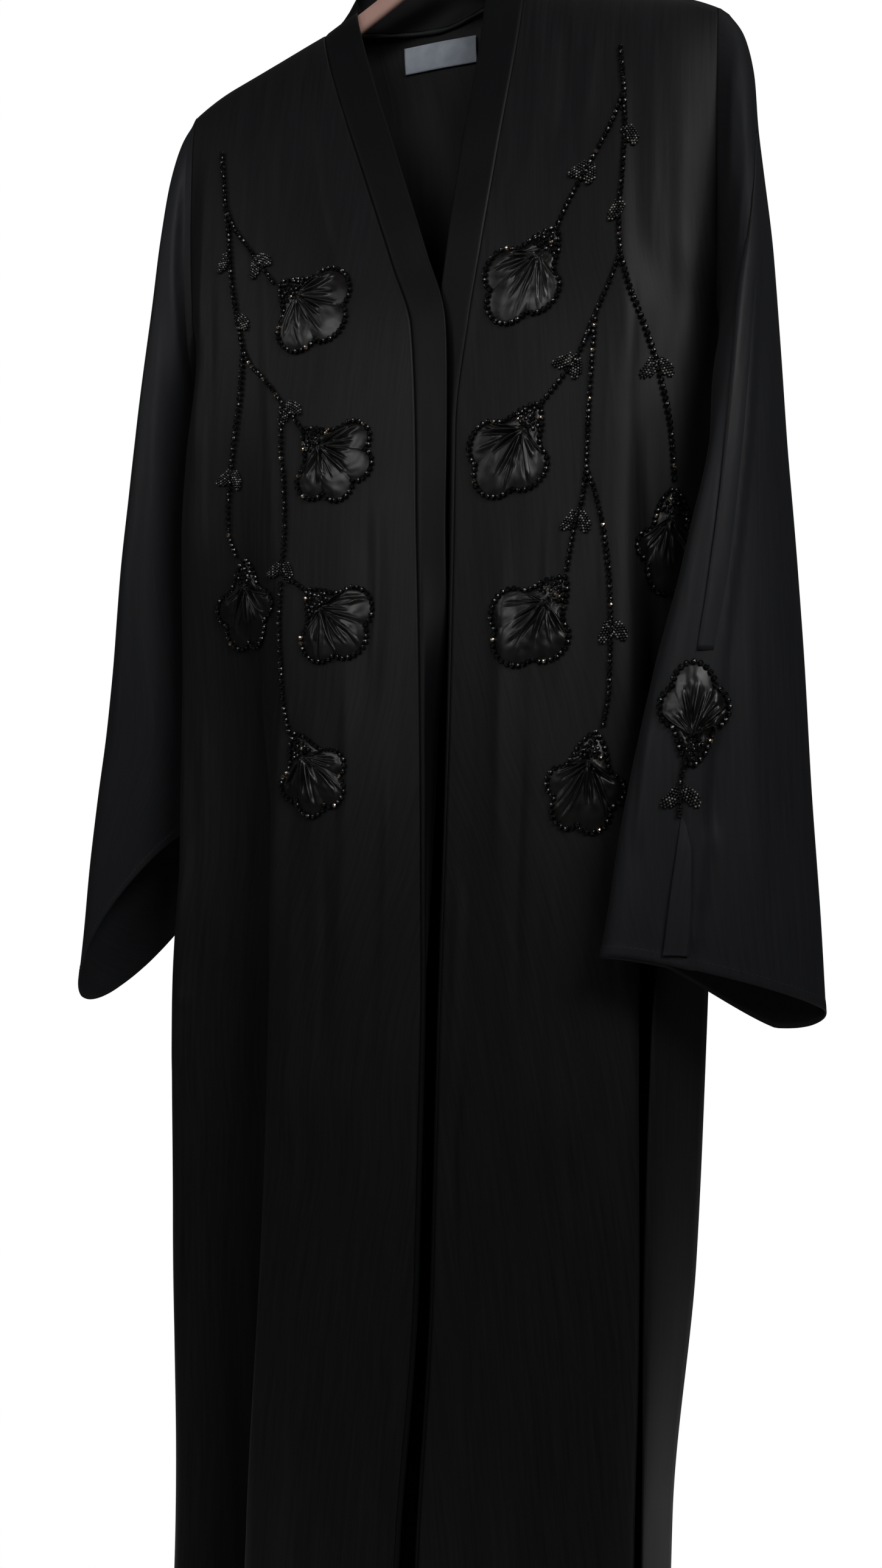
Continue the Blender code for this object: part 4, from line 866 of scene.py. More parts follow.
def crease_height(x, z, crease):
    """Height of one crease at each point of the cloth seen from the front."""
    *path, reach_right, reach_left, height = crease
    knots = np.array(path).reshape(-1, 2)
    keys = run_along(knots)
    line = smooth(keys, knots, np.linspace(0, keys[-1], 22))
    room = 3 * max(reach_right, reach_left)
    low = line.min(axis=0) - room
    high = line.max(axis=0) + room
    near = (x > low[0]) & (x < high[0]) & (z > low[1]) & (z < high[1])
    total = np.zeros_like(x)
    if not near.any():
        return total
    points = np.stack((x[near], z[near]), axis=1)
    nearest = np.full(len(points), np.inf)
    side = np.zeros(len(points))
    place = np.zeros(len(points))
    for index in range(len(line) - 1):
        start = line[index]
        run = line[index + 1] - start
        share = np.clip((points - start) @ run / (run @ run), 0, 1)
        off = points - start - share[:, None] * run
        distance = np.linalg.norm(off, axis=1)
        closer = distance < nearest
        nearest = np.where(closer, distance, nearest)
        side = np.where(closer, run[1] * off[:, 0] - run[0] * off[:, 1], side)
        place = np.where(closer, (index + share) / (len(line) - 1), place)
    left_of_it = side * np.sign(line[-1, 1] - line[0, 1] + 1e-9) > 0
    reach = np.where(left_of_it, reach_left, reach_right)
    fade = soft_step(place, 0, 0.3) * (1 - soft_step(place, 0.7, 1))
    total[near] = height * fade * np.exp(-1.2 * (nearest / reach) ** 2)
    return total


def drape(x, z, seed):
    """Gentle unevenness of hanging cloth: slow waves that run down it, calmer near the shoulders."""
    draw = np.random.default_rng(seed)
    total = np.zeros_like(x)
    for width, drift, height in DRAPE_WAVES:
        phase = draw.uniform(0, 2 * math.pi, 3)
        bend = 0.45 * width * np.sin(2 * math.pi * z / drift + phase[0])
        swell = 0.55 + 0.45 * np.sin(2 * math.pi * z / (1.7 * drift) + phase[1] + 9 * x)
        total += height * swell * np.sin(2 * math.pi * (x + bend) / width + phase[2])
    return total * (CALM_SHARE + (1 - CALM_SHARE) * soft_step(-z, CALM_DEPTH, UNEVEN_DEPTH))


def edge_distances(surface):
    """Distance along the cloth from each of its four edges: top, bottom, first and last column."""
    over = np.linalg.norm(np.diff(surface, axis=1), axis=2)
    down = np.linalg.norm(np.diff(surface, axis=0), axis=2)
    from_first = np.concatenate((np.zeros((len(surface), 1)), np.cumsum(over, axis=1)), axis=1)
    from_top = np.concatenate((np.zeros((1, surface.shape[1])), np.cumsum(down, axis=0)))
    return from_top, from_top[-1:] - from_top, from_first, from_first[:, -1:] - from_first


def relief(surface, normals, creases, seed, sewn):
    """The surface with its creases and unevenness, which fade towards the sewn edges."""
    x = surface[:, :, 0]
    z = surface[:, :, 2]
    height = drape(x, z, seed)
    for crease in creases:
        height = height + crease_height(x, z, crease)
    for distance, is_sewn in zip(edge_distances(surface), sewn):
        if is_sewn:
            height = height * soft_step(distance, FADE_NEAR, FADE_FAR)
    return surface + normals * height[:, :, None]


def grooved(surface, normals, sides):
    """The surface with the given first or last column sunk a little, as at a seam."""
    sunk = surface.copy()
    for column in sides:
        sunk[:, column] -= normals[:, column] * SEAM_SINK
    return sunk


def hem_rise(surface):
    """How much thicker the cloth is where its hem is folded under."""
    distance = edge_distances(surface)[1]
    return HEM_RISE * (1 - soft_step(distance, HEM_DEPTH - HEM_SOFTNESS, HEM_DEPTH + HEM_SOFTNESS))


def grid_faces(rows, columns, closed_round):
    """Faces of a closed wall made of an outer grid, an inner grid and its rims."""
    steps = columns if closed_round else columns - 1
    row, column = np.meshgrid(np.arange(rows - 1), np.arange(steps), indexing="ij")
    beside = (column + 1) % columns
    a = row * columns + column
    b = row * columns + beside
    c = b + columns
    d = a + columns
    inner = rows * columns
    outer_faces = np.stack((a, b, c, d), axis=-1).reshape(-1, 4)
    inner_faces = np.stack((d, c, b, a), axis=-1).reshape(-1, 4) + inner
    rims = []
    edge = np.arange(steps)
    beside = (edge + 1) % columns
    last = (rows - 1) * columns
    rims.append(np.stack((edge, edge + inner, beside + inner, beside), axis=-1))
    rims.append(np.stack((last + edge, last + beside, last + beside + inner, last + edge + inner), axis=-1))
    if not closed_round:
        edge = np.arange(rows - 1) * columns
        below = edge + columns
        rims.append(np.stack((edge, below, below + inner, edge + inner), axis=-1))
        edge = edge + columns - 1
        below = edge + columns
        rims.append(np.stack((edge, edge + inner, below + inner, below), axis=-1))
    return np.concatenate((outer_faces, inner_faces, *rims))


def link(name, mesh, finishes):
    """A piece that rides with the garment and takes the given finishes."""
    for finish in finishes:
        mesh.materials.append(finish)
    made = bpy.data.objects.new(name, mesh)
    bpy.context.scene.collection.objects.link(made)
    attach(made, "root")
    return made


def mesh_from(name, points, faces, uv=None, is_smooth=True, flat_from=None):
    """A mesh of points and faces; the faces from flat_from on are rims, shaded flat."""
    mesh = bpy.data.meshes.new(name)
    mesh.from_pydata(np.asarray(points).tolist(), [], np.asarray(faces).tolist())
    is_soft = np.full(len(mesh.polygons), is_smooth)
    if flat_from is not None:
        is_soft[flat_from:] = False
    mesh.polygons.foreach_set("use_smooth", is_soft)
    if uv is not None:
        corners = np.zeros(len(mesh.loops), dtype=np.int32)
        mesh.loops.foreach_get("vertex_index", corners)
        layer = mesh.uv_layers.new(name="cloth")
        layer.data.foreach_set("uv", np.asarray(uv)[corners].ravel())
    return mesh


def add_cloth(name, surface, normals, finish, rise=None, closed_round=False):
    """A thin closed shell of cloth; rise makes its outside stand prouder at hems."""
    rows, columns = surface.shape[:2]
    rise = np.zeros((rows, columns)) if rise is None else rise
    outer = surface + normals * (CLOTH / 2 + rise)[:, :, None]
    inner = surface - normals * (CLOTH / 2 + 0.4 * rise)[:, :, None]
    points = np.concatenate((outer.reshape(-1, 3), inner.reshape(-1, 3)))
    from_top, _, from_first, _ = edge_distances(surface)
    uv = np.stack((from_first, -from_top), axis=-1).reshape(-1, 2)
    faces = grid_faces(rows, columns, closed_round)
    down = surface[1:, :-1] - surface[:-1, :-1]
    over = surface[:-1, 1:] - surface[:-1, :-1]
    if np.sum(np.cross(down, over) * normals[:-1, :-1]) > 0:
        faces = faces[:, ::-1]
    walls = 2 * (rows - 1) * (columns if closed_round else columns - 1)
    mesh = mesh_from(name, points, faces[:, ::-1], np.concatenate((uv, uv)), flat_from=walls)
    return link(name, mesh, (finish,)), outer


def tree_of(surface):
    """A search tree of one grid of points, for finding what lies on it."""
    rows, columns = surface.shape[:2]
    faces = grid_faces(rows, columns, False)
    faces = faces[: (rows - 1) * (columns - 1)]
    return BVHTree.FromPolygons(surface.reshape(-1, 3).tolist(), faces.tolist())


def seen_at(tree, x, z):
    """The point of a piece that shows from the front at x and z, and its outward normal."""
    start = Vector((float(x), -1.0, float(z)))
    place, normal, _, _ = tree.ray_cast(start, Vector((0, 1, 0)))
    if place is None:
        place, normal, _, _ = tree.find_nearest(Vector((float(x), -0.08, float(z))))
    normal = np.array(normal)
    if normal[1] > 0:
        normal = -normal
    return np.array(place), normal


class Finish:
    """A new material, and the few kinds of node that the finishes are made of."""

    def __init__(self, name):
        self.made = bpy.data.materials.new(name)
        self.made.use_nodes = True
        self.nodes = self.made.node_tree.nodes
        self.links = self.made.node_tree.links
        self.shader = self.nodes["Principled BSDF"]
        places = self.nodes.new("ShaderNodeTexCoord").outputs
        self.cloth = places["UV"]
        self.spot = places["Object"]

    def node(self, kind, gives, values, **sources):
        """A new node with its inputs set by values and wired to sources; gives names its output."""
        made = self.nodes.new("ShaderNode" + kind)
        for name, value in values.items():
            made.inputs[name].default_value = value
        for name, source in sources.items():
            self.links.new(source, made.inputs[name])
        return made.outputs[gives]

    def noise(self, vector, scale, detail=3.0, roughness=0.5):
        values = {"Scale": scale, "Detail": detail, "Roughness": roughness}
        return self.node("TexNoise", "Fac", values, Vector=vector)

    def stretched(self, source, *scale):
        return self.node("Mapping", "Vector", {"Scale": scale}, Vector=source)

    def ranged(self, value, low, high):
        """The middle half of a noise spread between low and high."""
        values = {"From Min": 0.25, "From Max": 0.75, "To Min": low, "To Max": high}
        return self.node("MapRange", "Result", values, Value=value)

    def bumped(self, height, distance, strength, under=None):
        sources = {"Height": height} if under is None else {"Height": height, "Normal": under}
        return self.node("Bump", "Normal", {"Distance": distance * MM, "Strength": strength}, **sources)

    def colour(self, noise, dark, light):
        """Colours the surface between dark and light, by a noise."""
        mix = self.nodes.new("ShaderNodeMix")
        mix.data_type = "RGBA"
        mix.inputs[6].default_value = (*dark, 1)
        mix.inputs[7].default_value = (*light, 1)
        self.links.new(self.ranged(noise, 0, 1), mix.inputs[0])
        self.links.new(mix.outputs[2], self.shader.inputs["Base Color"])

    def wire(self, name, source):
        self.links.new(source, self.shader.inputs[name])

    def set(self, name, value):
        self.shader.inputs[name].default_value = value


def satin(name, dark, light, roughness, grain):
    """Soft black crepe satin: fine threads, a drawn vertical grain and a broad sheen; its colour runs in
    vertical streaks, partly grain and partly painted sheen.
    """
    look = Finish(name)
    place = look.cloth
    fine = look.noise(look.stretched(place, 1, 0.045, 1), 1500, 2)
    broad = look.noise(look.stretched(place, 1, 0.12, 1), 95, 3)
    cloud = look.noise(place, 7, 3)
    threads = look.noise(look.stretched(place, 1, 0.5, 1), 3200, 1)
    grain_and_sheen_streaks = look.noise(look.stretched(place, 1, 0.03, 1), 420, 4, 0.7)
    # Colour between dark and light along the vertical streaks: partly grain, partly painted sheen.
    look.colour(grain_and_sheen_streaks, dark, light)
    look.wire("Roughness", look.ranged(cloud, roughness - 0.05, roughness + 0.06))
    weave = look.bumped(threads, 0.03, 0.6)
    drawn = look.bumped(fine, 0.05, grain, weave)
    look.wire("Normal", look.bumped(broad, 0.35, 0.35 * grain, drawn))
    look.set("Specular IOR Level", 0.16)
    look.set("Sheen Weight", 0.03)
    look.set("Sheen Roughness", 0.4)
    return look.made


def organza(name):
    """Glossy gathered petal fabric with crumpled fine wrinkles."""
    look = Finish(name)
    fans = look.noise(look.stretched(look.cloth, 1, 0.16, 1), 210, 4, 0.6)
    mesh = look.noise(look.cloth, 2600, 1)
    cloud = look.noise(look.spot, 110, 3)
    crush = look.noise(look.spot, 85, 1, 0.4)
    look.colour(cloud, (0.0065, 0.0056, 0.0052), (0.0130, 0.0114, 0.0105))
    look.wire("Roughness", look.ranged(cloud, 0.24, 0.38))
    crumple = look.bumped(fans, 0.35, 0.25, look.bumped(crush, 2.0, 0.35))
    look.wire("Normal", look.bumped(mesh, 0.04, 0.6, crumple))
    look.set("Specular IOR Level", 0.46)
    return look.made


def glass_bead(name, colour, roughness, metallic=0.0):
    """Cut black glass, a little uneven so that no two beads look alike."""
    look = Finish(name)
    cloud = look.noise(look.spot, 420, 2)
    look.colour(cloud, colour, tuple(1.6 * part for part in colour))
    look.wire("Roughness", look.ranged(cloud, roughness, 2 * roughness))
    look.wire("Normal", look.bumped(cloud, 0.05, 0.3))
    look.set("Metallic", metallic)
    look.set("Specular IOR Level", 0.6)
    return look.made


def thread(name, colour):
    look = Finish(name)
    twist = look.noise(look.spot, 2400, 2)
    look.colour(twist, colour, tuple(1.8 * part for part in colour))
    look.wire("Normal", look.bumped(twist, 0.08, 0.7))
    look.set("Roughness", 0.55)
    return look.made


def woven_label(name):
    """Bare damask tape: pale blue-grey with close ribs across it."""
    look = Finish(name)
    ribs = look.noise(look.stretched(look.cloth, 0.12, 1, 1), 3400, 2)
    cloud = look.noise(look.cloth, 90, 3)
    look.colour(cloud, (0.36, 0.41, 0.48), (0.50, 0.55, 0.62))
    look.wire("Normal", look.bumped(ribs, 0.12, 0.8))
    look.set("Roughness", 0.7)
    return look.made


def moulded(name):
    """Matte pink hanger plastic with a very fine mould texture."""
    look = Finish(name)
    pores = look.noise(look.spot, 1600, 2)
    cloud = look.noise(look.spot, 26, 3)
    look.colour(cloud, (0.60, 0.345, 0.28), (0.70, 0.42, 0.35))
    look.wire("Roughness", look.ranged(cloud, 0.42, 0.56))
    look.wire("Normal", look.bumped(pores, 0.05, 0.5))
    return look.made


def drawn_wire(name):
    """Bright drawn wire with faint lines along it."""
    look = Finish(name)
    lines = look.noise(look.stretched(look.spot, 1, 1, 0.2), 1300, 2)
    look.colour(lines, (0.45, 0.45, 0.46), (0.62, 0.62, 0.63))
    look.wire("Roughness", look.ranged(lines, 0.18, 0.34))
    look.wire("Normal", look.bumped(lines, 0.02, 0.6))
    look.set("Metallic", 1.0)
    return look.made


def along(points, pitch):
    """Points along a smooth curve through the given ones, a pitch apart."""
    knots = np.array(points)
    keys = run_along(knots)
    curve = smooth(keys, knots, np.linspace(0, keys[-1], 200))
    run = run_along(curve)
    count = max(int(round(run[-1] / pitch)), 1)
    at = np.linspace(0, run[-1], count + 1)
    return np.stack([np.interp(at, run, curve[:, axis]) for axis in range(curve.shape[1])], axis=1)


def bead_shape(around, rings):
    """A unit bead: points and triangles of a faceted ball."""
    points = [(0, 0, 1.0)]
    for ring in range(1, rings):
        tilt = math.pi * ring / rings
        for index in range(around):
            turn = 2 * math.pi * (index + 0.5 * (ring % 2)) / around
            out = math.sin(tilt)
            points.append((out * math.cos(turn), out * math.sin(turn), math.cos(tilt)))
    points.append((0, 0, -1.0))
    last = len(points) - 1
    faces = []
    for index in range(around):
        beside = (index + 1) % around
        faces.append((0, 1 + index, 1 + beside))
        faces.append((last, last - around + beside, last - around + index))
        for ring in range(rings - 2):
            start = 1 + ring * around
            a, b = start + index, start + beside
            c, d = a + around, b + around
            if ring % 2:
                faces.append((a, c, b))
                faces.append((b, c, d))
            else:
                faces.append((a, c, d))
                faces.append((a, d, b))
    return np.array(points), np.array(faces)


def turned(draw, points):
    """The points turned by a random rotation."""
    axis = unit(draw.normal(size=3))
    angle = draw.uniform(0, 2 * math.pi)
    x, y, z = axis
    cross = np.array(((0, -z, y), (z, 0, -x), (-y, x, 0)))
    turn = np.eye(3) + math.sin(angle) * cross + (1 - math.cos(angle)) * cross @ cross
    return points @ turn.T


def add_beads(name, places, sizes, finishes, bright_share, seed, around=8, rings=5, is_smooth=False):
    """Many beads as one mesh; a few of them take the brighter finish."""
    draw = np.random.default_rng(seed)
    shape, faces = bead_shape(around, rings)
    points = []
    corners = []
    finish_of = []
    for index, (place, size) in enumerate(zip(places, sizes)):
        scale = size / 2 * np.array((1, 1, 0.92)) * draw.uniform(0.94, 1.04)
        points.append(place + turned(draw, shape * scale))
        corners.append(faces + index * len(shape))
        finish_of.append(np.full(len(faces), int(draw.random() < bright_share)))
    mesh = mesh_from(name, np.concatenate(points), np.concatenate(corners), is_smooth=is_smooth)
    made = link(name, mesh, finishes)
    mesh.polygons.foreach_set("material_index", np.concatenate(finish_of).astype(np.int32))
    return made


def string_places(tree, points, size, pitch):
    """Centres of a string of beads lying on a piece of cloth."""
    places = []
    for x, z in along(points, pitch):
        place, normal = seen_at(tree, x, z)
        places.append(place + normal * size * BEAD_STAND)
    return places


def leaf_places(tree, x, z, heading):
    """Centres of the seed beads of one leaf: close rows that fill a teardrop."""
    turn = math.radians(heading)
    down = np.array((math.sin(turn), -math.cos(turn)))
    beside = np.array((math.cos(turn), math.sin(turn)))
    places = []
    rows = int(LEAF_WIDTH / 2 / SEED_ROW)
    for row in range(-rows, rows + 1):
        for step in range(int(LEAF_LENGTH / SEED_STEP) + 1):
            far = (step + 0.5 * (row % 2)) * SEED_STEP
            across = row * SEED_ROW
            share = far / LEAF_LENGTH
            half = LEAF_WIDTH / 2 * math.sin(math.pi * min(share, 1) ** 0.72) ** 0.8 + LEAF_MARGIN
            if share > 1 or abs(across) > half:
                continue
            swerve = across + LEAF_SWERVE * math.sin(math.pi * share)
            spot = np.array((x, z)) + down * far + beside * swerve
            place, normal = seen_at(tree, spot[0], spot[1])
            dome = LEAF_DOME * (1 - (across / half) ** 2)
            places.append(place + normal * (SEED_BEAD * BEAD_STAND + dome))
    return places


class Flower:
    """One flower laid on a piece of cloth, in the plane seen from the front."""

    def __init__(self, record, tree):
        for column, value in zip(FLOWER_COLUMNS, record):
            setattr(self, column, value)
        self.tree = tree
        turn = math.radians(self.heading)
        self.down = np.array((math.sin(turn), -math.cos(turn)))
        self.beside = np.array((math.cos(turn), math.sin(turn)))
        self.calyx = np.array((self.calyx_x, self.calyx_z))
        self.centre = self.calyx + self.down * self.length * FLOWER_CENTRE

    def edge(self, angle):
        return flower_outline(angle, self.length, self.width, self.lobes)

    def at(self, far, across):
        x, z = self.centre + self.down * far + self.beside * across
        return seen_at(self.tree, x, z)


def petal_height(draw, turn, share, reach):
    """Height of the gathered fabric: uneven narrow pleats that fan out over soft billows."""
    phase = draw.uniform(0, 2 * math.pi, 6)
    gaps = draw.uniform(0.25, 1.7, PLEATS + 1)
    places = 0.12 + 0.76 * np.cumsum(gaps)[:-1] / gaps.sum()
    height = np.zeros_like(share)
    for place in places:
        bend, swing = draw.uniform(-0.030, 0.030), draw.uniform(0, 2 * math.pi)
        centre = place + bend * np.sin(3.4 * share + swing) * share
        across = (turn - centre) * 2 * math.pi * reach
        width = draw.uniform(0.9, 1.9) * MM
        tall = draw.uniform(0.9, 2.7) * MM
        end = draw.uniform(0.55, 1.05)
        beside = draw.choice((-1, 1)) * 1.7 * width
        ridge = np.exp(-(across / width) ** 2) - 0.6 * np.exp(-((across - beside) / (1.2 * width)) ** 2)
        fade = soft_step(share, 0, 0.14) * (1 - soft_step(share, end - 0.25, end))
        height = height + tall * fade * ridge
    around = 2 * math.pi * turn
    billow = np.sin(3 * around + phase[2] + 3 * share) * np.sin(4 * share + phase[3])
    height = height + BILLOW * billow * share * (1 - share ** 3)
    crumple = np.sin(13 * around + phase[4] + 5 * np.sin(5 * share + phase[5]))
    crumple = crumple * np.sin(15 * share + phase[1])
    height = height + CRUMPLE * crumple * share * (1 - share ** 4)
    pad = PAD + PAD * (1 - share ** 3)
    return np.maximum((height + pad) * (1 - 0.65 * share ** 9), LEAST_HEIGHT)


def add_petals(flower, finish, seed):
    """The gathered fabric of one flower, a closed pad whose folds run from its gathered end."""
    turns = np.arange(PETAL_COLUMNS) / PETAL_COLUMNS
    angles = 2 * math.pi * turns + math.pi
    edges = np.array([flower.edge(angle) for angle in angles])
    rim = np.stack((edges * np.cos(angles), edges * np.sin(angles)), axis=1)
    gather = np.array((flower.length * (GATHER_SHARE - FLOWER_CENTRE), 0))
    layers = []
    uv = []
    rings_above = np.arange(1, PETAL_RINGS + 1) / PETAL_RINGS
    for is_top, shares in ((True, rings_above), (False, (1, 0.75, 0.5, 0.25))):
        for share in shares:
            spots = gather + share * (rim - gather)
            reach = np.linalg.norm(spots - gather, axis=1)
            height = np.full(PETAL_COLUMNS, PETAL_UNDERSIDE)
            if is_top:
                draw = np.random.default_rng(seed)
                height = petal_height(draw, turns, np.full(PETAL_COLUMNS, share), reach)
            ring = []
            for (far, across), high in zip(spots, height):
                place, normal = flower.at(far, across)
                facing = unit(normal * 0.5 + np.array((0, -0.5, 0)))
                ring.append(place + facing * high)
            layers.append(ring)
            uv.extend(zip(turns * 0.2, reach))
    place, normal = flower.at(*gather)
    points = [point for ring in layers for point in ring]
    points.extend((place + normal * 2.2 * MM, place + normal * PETAL_UNDERSIDE))
    uv.extend(((0, 0), (0, 0)))
    faces = []
    last = (len(layers) - 1) * PETAL_COLUMNS
    for index in range(PETAL_COLUMNS):
        beside = (index + 1) % PETAL_COLUMNS
        faces.append((len(points) - 2, index, beside))
        for ring in range(len(layers) - 1):
            a = ring * PETAL_COLUMNS + index
            b = ring * PETAL_COLUMNS + beside
            faces.append((a, a + PETAL_COLUMNS, b + PETAL_COLUMNS))
            faces.append((a, b + PETAL_COLUMNS, b))
        faces.append((len(points) - 1, last + beside, last + index))
    mesh = mesh_from(flower.name + "_petals", points, faces, uv)
    made = link(flower.name + "_petals", mesh, (finish,))
    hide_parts(flower.name)


def flower_beads(flower, draw):
    """The beads round the edge of a flower and the cluster over its gathered end."""
    outline = []
    for index in range(181):
        angle = 2 * math.pi * index / 180
        reach = flower.edge(angle) + 0.4 * MM
        spot = flower.centre + flower.down * reach * math.cos(angle)
        outline.append(spot + flower.beside * reach * math.sin(angle))
    places = string_places(flower.tree, outline, BEAD, BEAD_PITCH)
    sizes = [BEAD] * len(places)
    pitch = CALYX_BEAD * 0.97
    corner = -flower.length * FLOWER_CENTRE
    rows = int(2 * CALYX_REACH / pitch)
    for row in range(rows):
        for column in range(-rows, rows + 1):
            far = corner + 1.6 * MM + row * pitch * 0.87 + draw.normal(0, 0.2 * MM)
            across = (column + 0.5 * (row % 2)) * pitch + draw.normal(0, 0.2 * MM)
            inside = flower.edge(math.atan2(across, far)) - 2.2 * MM - math.hypot(far, across)
            from_corner = math.hypot(far - corner, across * 0.8)
            if inside < 0 or from_corner > CALYX_REACH + draw.uniform(-1.2, 1.2) * MM:
                continue
            place, normal = flower.at(far, across)
            places.append(place + normal * (2.6 * MM + draw.uniform(0, 0.9) * MM))
            sizes.append(CALYX_BEAD)
    return places, sizes


def add_stitches(name, line, normals, finish, slot):
    """A row of machine stitches along a line of the cloth."""
    run = run_along(line)
    count = int(run[-1] / STITCH_PITCH)
    points = []
    faces = []
    around = 5
    for index in range(count):
        ends = (index * STITCH_PITCH, index * STITCH_PITCH + STITCH_LENGTH)
        places = [np.array([np.interp(end, run, line[:, axis]) for axis in range(3)]) for end in ends]
        normal = unit(np.array([np.interp(ends[0], run, normals[:, axis]) for axis in range(3)]))
        forward = unit(places[1] - places[0])
        beside = np.cross(forward, normal)
        start = len(points)
        profile = ((0, 0.2), (0.25, 1), (0.75, 1), (1, 0.2))
        for share, fat in profile:
            centre = places[0] + share * (places[1] - places[0])
            for turn in range(around):
                angle = 2 * math.pi * turn / around
                out = math.cos(angle) * beside + math.sin(angle) * normal * 0.8
                points.append(centre + out * fat * STITCH_WIDTH / 2 + normal * 0.05 * MM)
        for ring in range(len(profile) - 1):
            for turn in range(around):
                a = start + ring * around + turn
                b = start + ring * around + (turn + 1) % around
                faces.append((a, b, b + around))
                faces.append((a, b + around, a + around))
        for ring, order in ((0, -1), (len(profile) - 1, 1)):
            first = start + ring * around
            for turn in range(1, around - 1):
                faces.append((first, first + turn, first + turn + 1)[::order])
    return link(name, mesh_from(name, points, faces), (finish,))


def fine_levels(rows):
    """Levels of a long panel from its shoulder to its hem, close together at the top."""
    below = np.linspace(TOP_LEVEL - SECOND_ROW, HEM_LEVEL, rows)
    return np.concatenate(((TOP_LEVEL, TOP_LEVEL - FIRST_ROW), below))


def build_front(side, word, creases, seed, finish):
    """One front as a fine shell, with the surfaces that other pieces lie on."""
    levels = fine_levels(FINE_FRONT_ROWS)
    across = span_fractions(FINE_FRONT_STEPS)
    surface = front_surface(side, levels, across)
    normals = front_normals(side, surface)
    shaped = relief(surface, normals, creases, seed, (True, False, True, True))
    if side is RIGHT:
        shaped = grooved(shaped, normals, (-1,))
    made, outer = add_cloth(f"cloth_front_{word}", shaped, normals, finish, hem_rise(shaped))
    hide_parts(f"front_{word}")
    return made, outer, shaped, normals, levels


def build_band(side, word, surface, normals, levels, finish, painted_highlight_finish):
    """The neck band of one front, folded double, with a rounded free edge."""
    edge = surface[:, -1] + normals[:, -1] * (SEAM_SINK if side is RIGHT else 0)
    edge_normals = normals[:, -1]
    away = edge_away(edge, edge_normals, (-side.sign, 0, 0))
    near_top = 1 - soft_step(TOP_LEVEL - levels, 2 * MM, NECK_BLEND)[:, None]
    away = unit(away * (1 - near_top) + neck_rise(side) * near_top)
    shape = smooth(-side.band_rows[:, 0], side.band_rows[:, 1:], -levels)
    share = np.linspace(0, 1, FINE_BAND_ACROSS + 1)
    across = 1 - (1 - share) ** 1.3
    band, band_normals = ribbon(edge, edge_normals, away, shape[:, 0], shape[:, 1], across)
    draw = np.random.default_rng(5 if side is RIGHT else 6)
    phase = draw.uniform(0, 6, 3)
    z = band[:, :, 2]
    waves = ((0.35, 0.041), (0.3, 0.017), (0.25, 0.009))
    wave = sum(height * np.sin(z / pitch + start) for (height, pitch), start in zip(waves, phase))
    swell = soft_step(across, 0, 0.6)[None, :] * wave * 0.6 * MM
    band = band + band_normals * swell[:, :, None]
    if side is RIGHT:
        band = grooved(band, band_normals, (0,))
    rise = double_cloth(across, len(band), 0.06 if side is RIGHT else 0.6)
    made, outer = add_cloth(f"cloth_band_{word}", band, band_normals, finish, rise)
    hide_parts(f"band_{word}")
    return made, band_fold(word, outer[:, -1], painted_highlight_finish)


def band_fold(word, edge, finish):
    """The turned edge of a band as a fine roll, where the band hangs free; its lighter satin paints a thin
    highlight along the edge.
    """
    rows = []
    angles = np.arange(8) * 2 * math.pi / 8
    for place in edge[edge[:, 2] < BAND_FOLD_START]:
        radius = BAND_FOLD * (0.3 + 0.7 * soft_step(BAND_FOLD_START - place[2], 0, 0.12))
        ring = np.stack((np.cos(angles), np.sin(angles), np.zeros(len(angles))), axis=1)
        rows.append(place + ring * radius)
    return closed_tube(f"band_fold_{word}", rows, finish)


def double_cloth(across, rows, seam_reach):
    """The extra thickness of a folded band, rounded off at its free edge."""
    edge = np.sqrt(np.clip(1 - ((across - 0.93) / 0.07).clip(0, 1) ** 2, 0, 1))
    seam = soft_step(across, 0, seam_reach)
    return np.tile(0.35 * MM * (edge - 0.35) * seam, (rows, 1))


def build_back(finish):
    levels = fine_levels(FINE_BACK_ROWS)
    surface = back_surface(levels, span_fractions(FINE_BACK_STEPS))
    normals = back_normals(surface)
    shaped = relief(surface, normals, BACK_CREASES, 23, (True, False, True, True))
    made, outer = add_cloth("cloth_back", shaped, normals, finish, hem_rise(shaped))
    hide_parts("back")
    return made, outer, surface, normals


def build_neck_band(surface, normals):
    """The standing band behind the neck, slightly gathered at its seam."""
    top = surface[0]
    at_neck = (top[:, 0] >= RIGHT.neck_x - TOUCH) & (top[:, 0] <= LEFT.neck_x + TOUCH)
    edge = top[at_neck]
    edge_normals = normals[0, at_neck]
    along_edge = unit(np.gradient(edge, axis=0))
    turn = np.linspace(0, math.pi, len(edge))
    start = math.atan(NECK_RISE)
    climb = start + (NECK_BAND_LEAN - start) * np.sin(turn) ** 0.7
    inwards = np.cos(climb) * np.sign(np.cos(turn))
    forward = -np.cos(climb) * np.sin(turn)
    away = unit(np.stack((inwards, forward, np.sin(climb)), axis=1))
    across = np.linspace(0, 1, NECK_BAND_ACROSS)
    widths = np.full(len(edge), NECK_BAND_WIDTH)
    band, band_normals = ribbon(edge, edge_normals, away, widths, np.zeros(len(edge)), across)
    band[:, 0, 2] -= 1.5 * MM
    standing = unit(np.cross(along_edge, away))
    standing[standing[:, 2] + standing[:, 1] < 0] *= -1
    band_normals[:, 1:] = standing[:, None]
    x = edge[:, 0]
    gathers = 0.5 * np.sin(x / 0.0023) + 0.6 * np.sin(x / 0.0061 + 1) + 0.5 * np.sin(x / 0.0137)
    fade = soft_step(across, 0, 0.3) * (1 - 0.7 * soft_step(across, 0.4, 1))
    band = band + band_normals * (0.6 * MM * gathers[:, None] * fade[None, :])[:, :, None]
    return band, band_normals


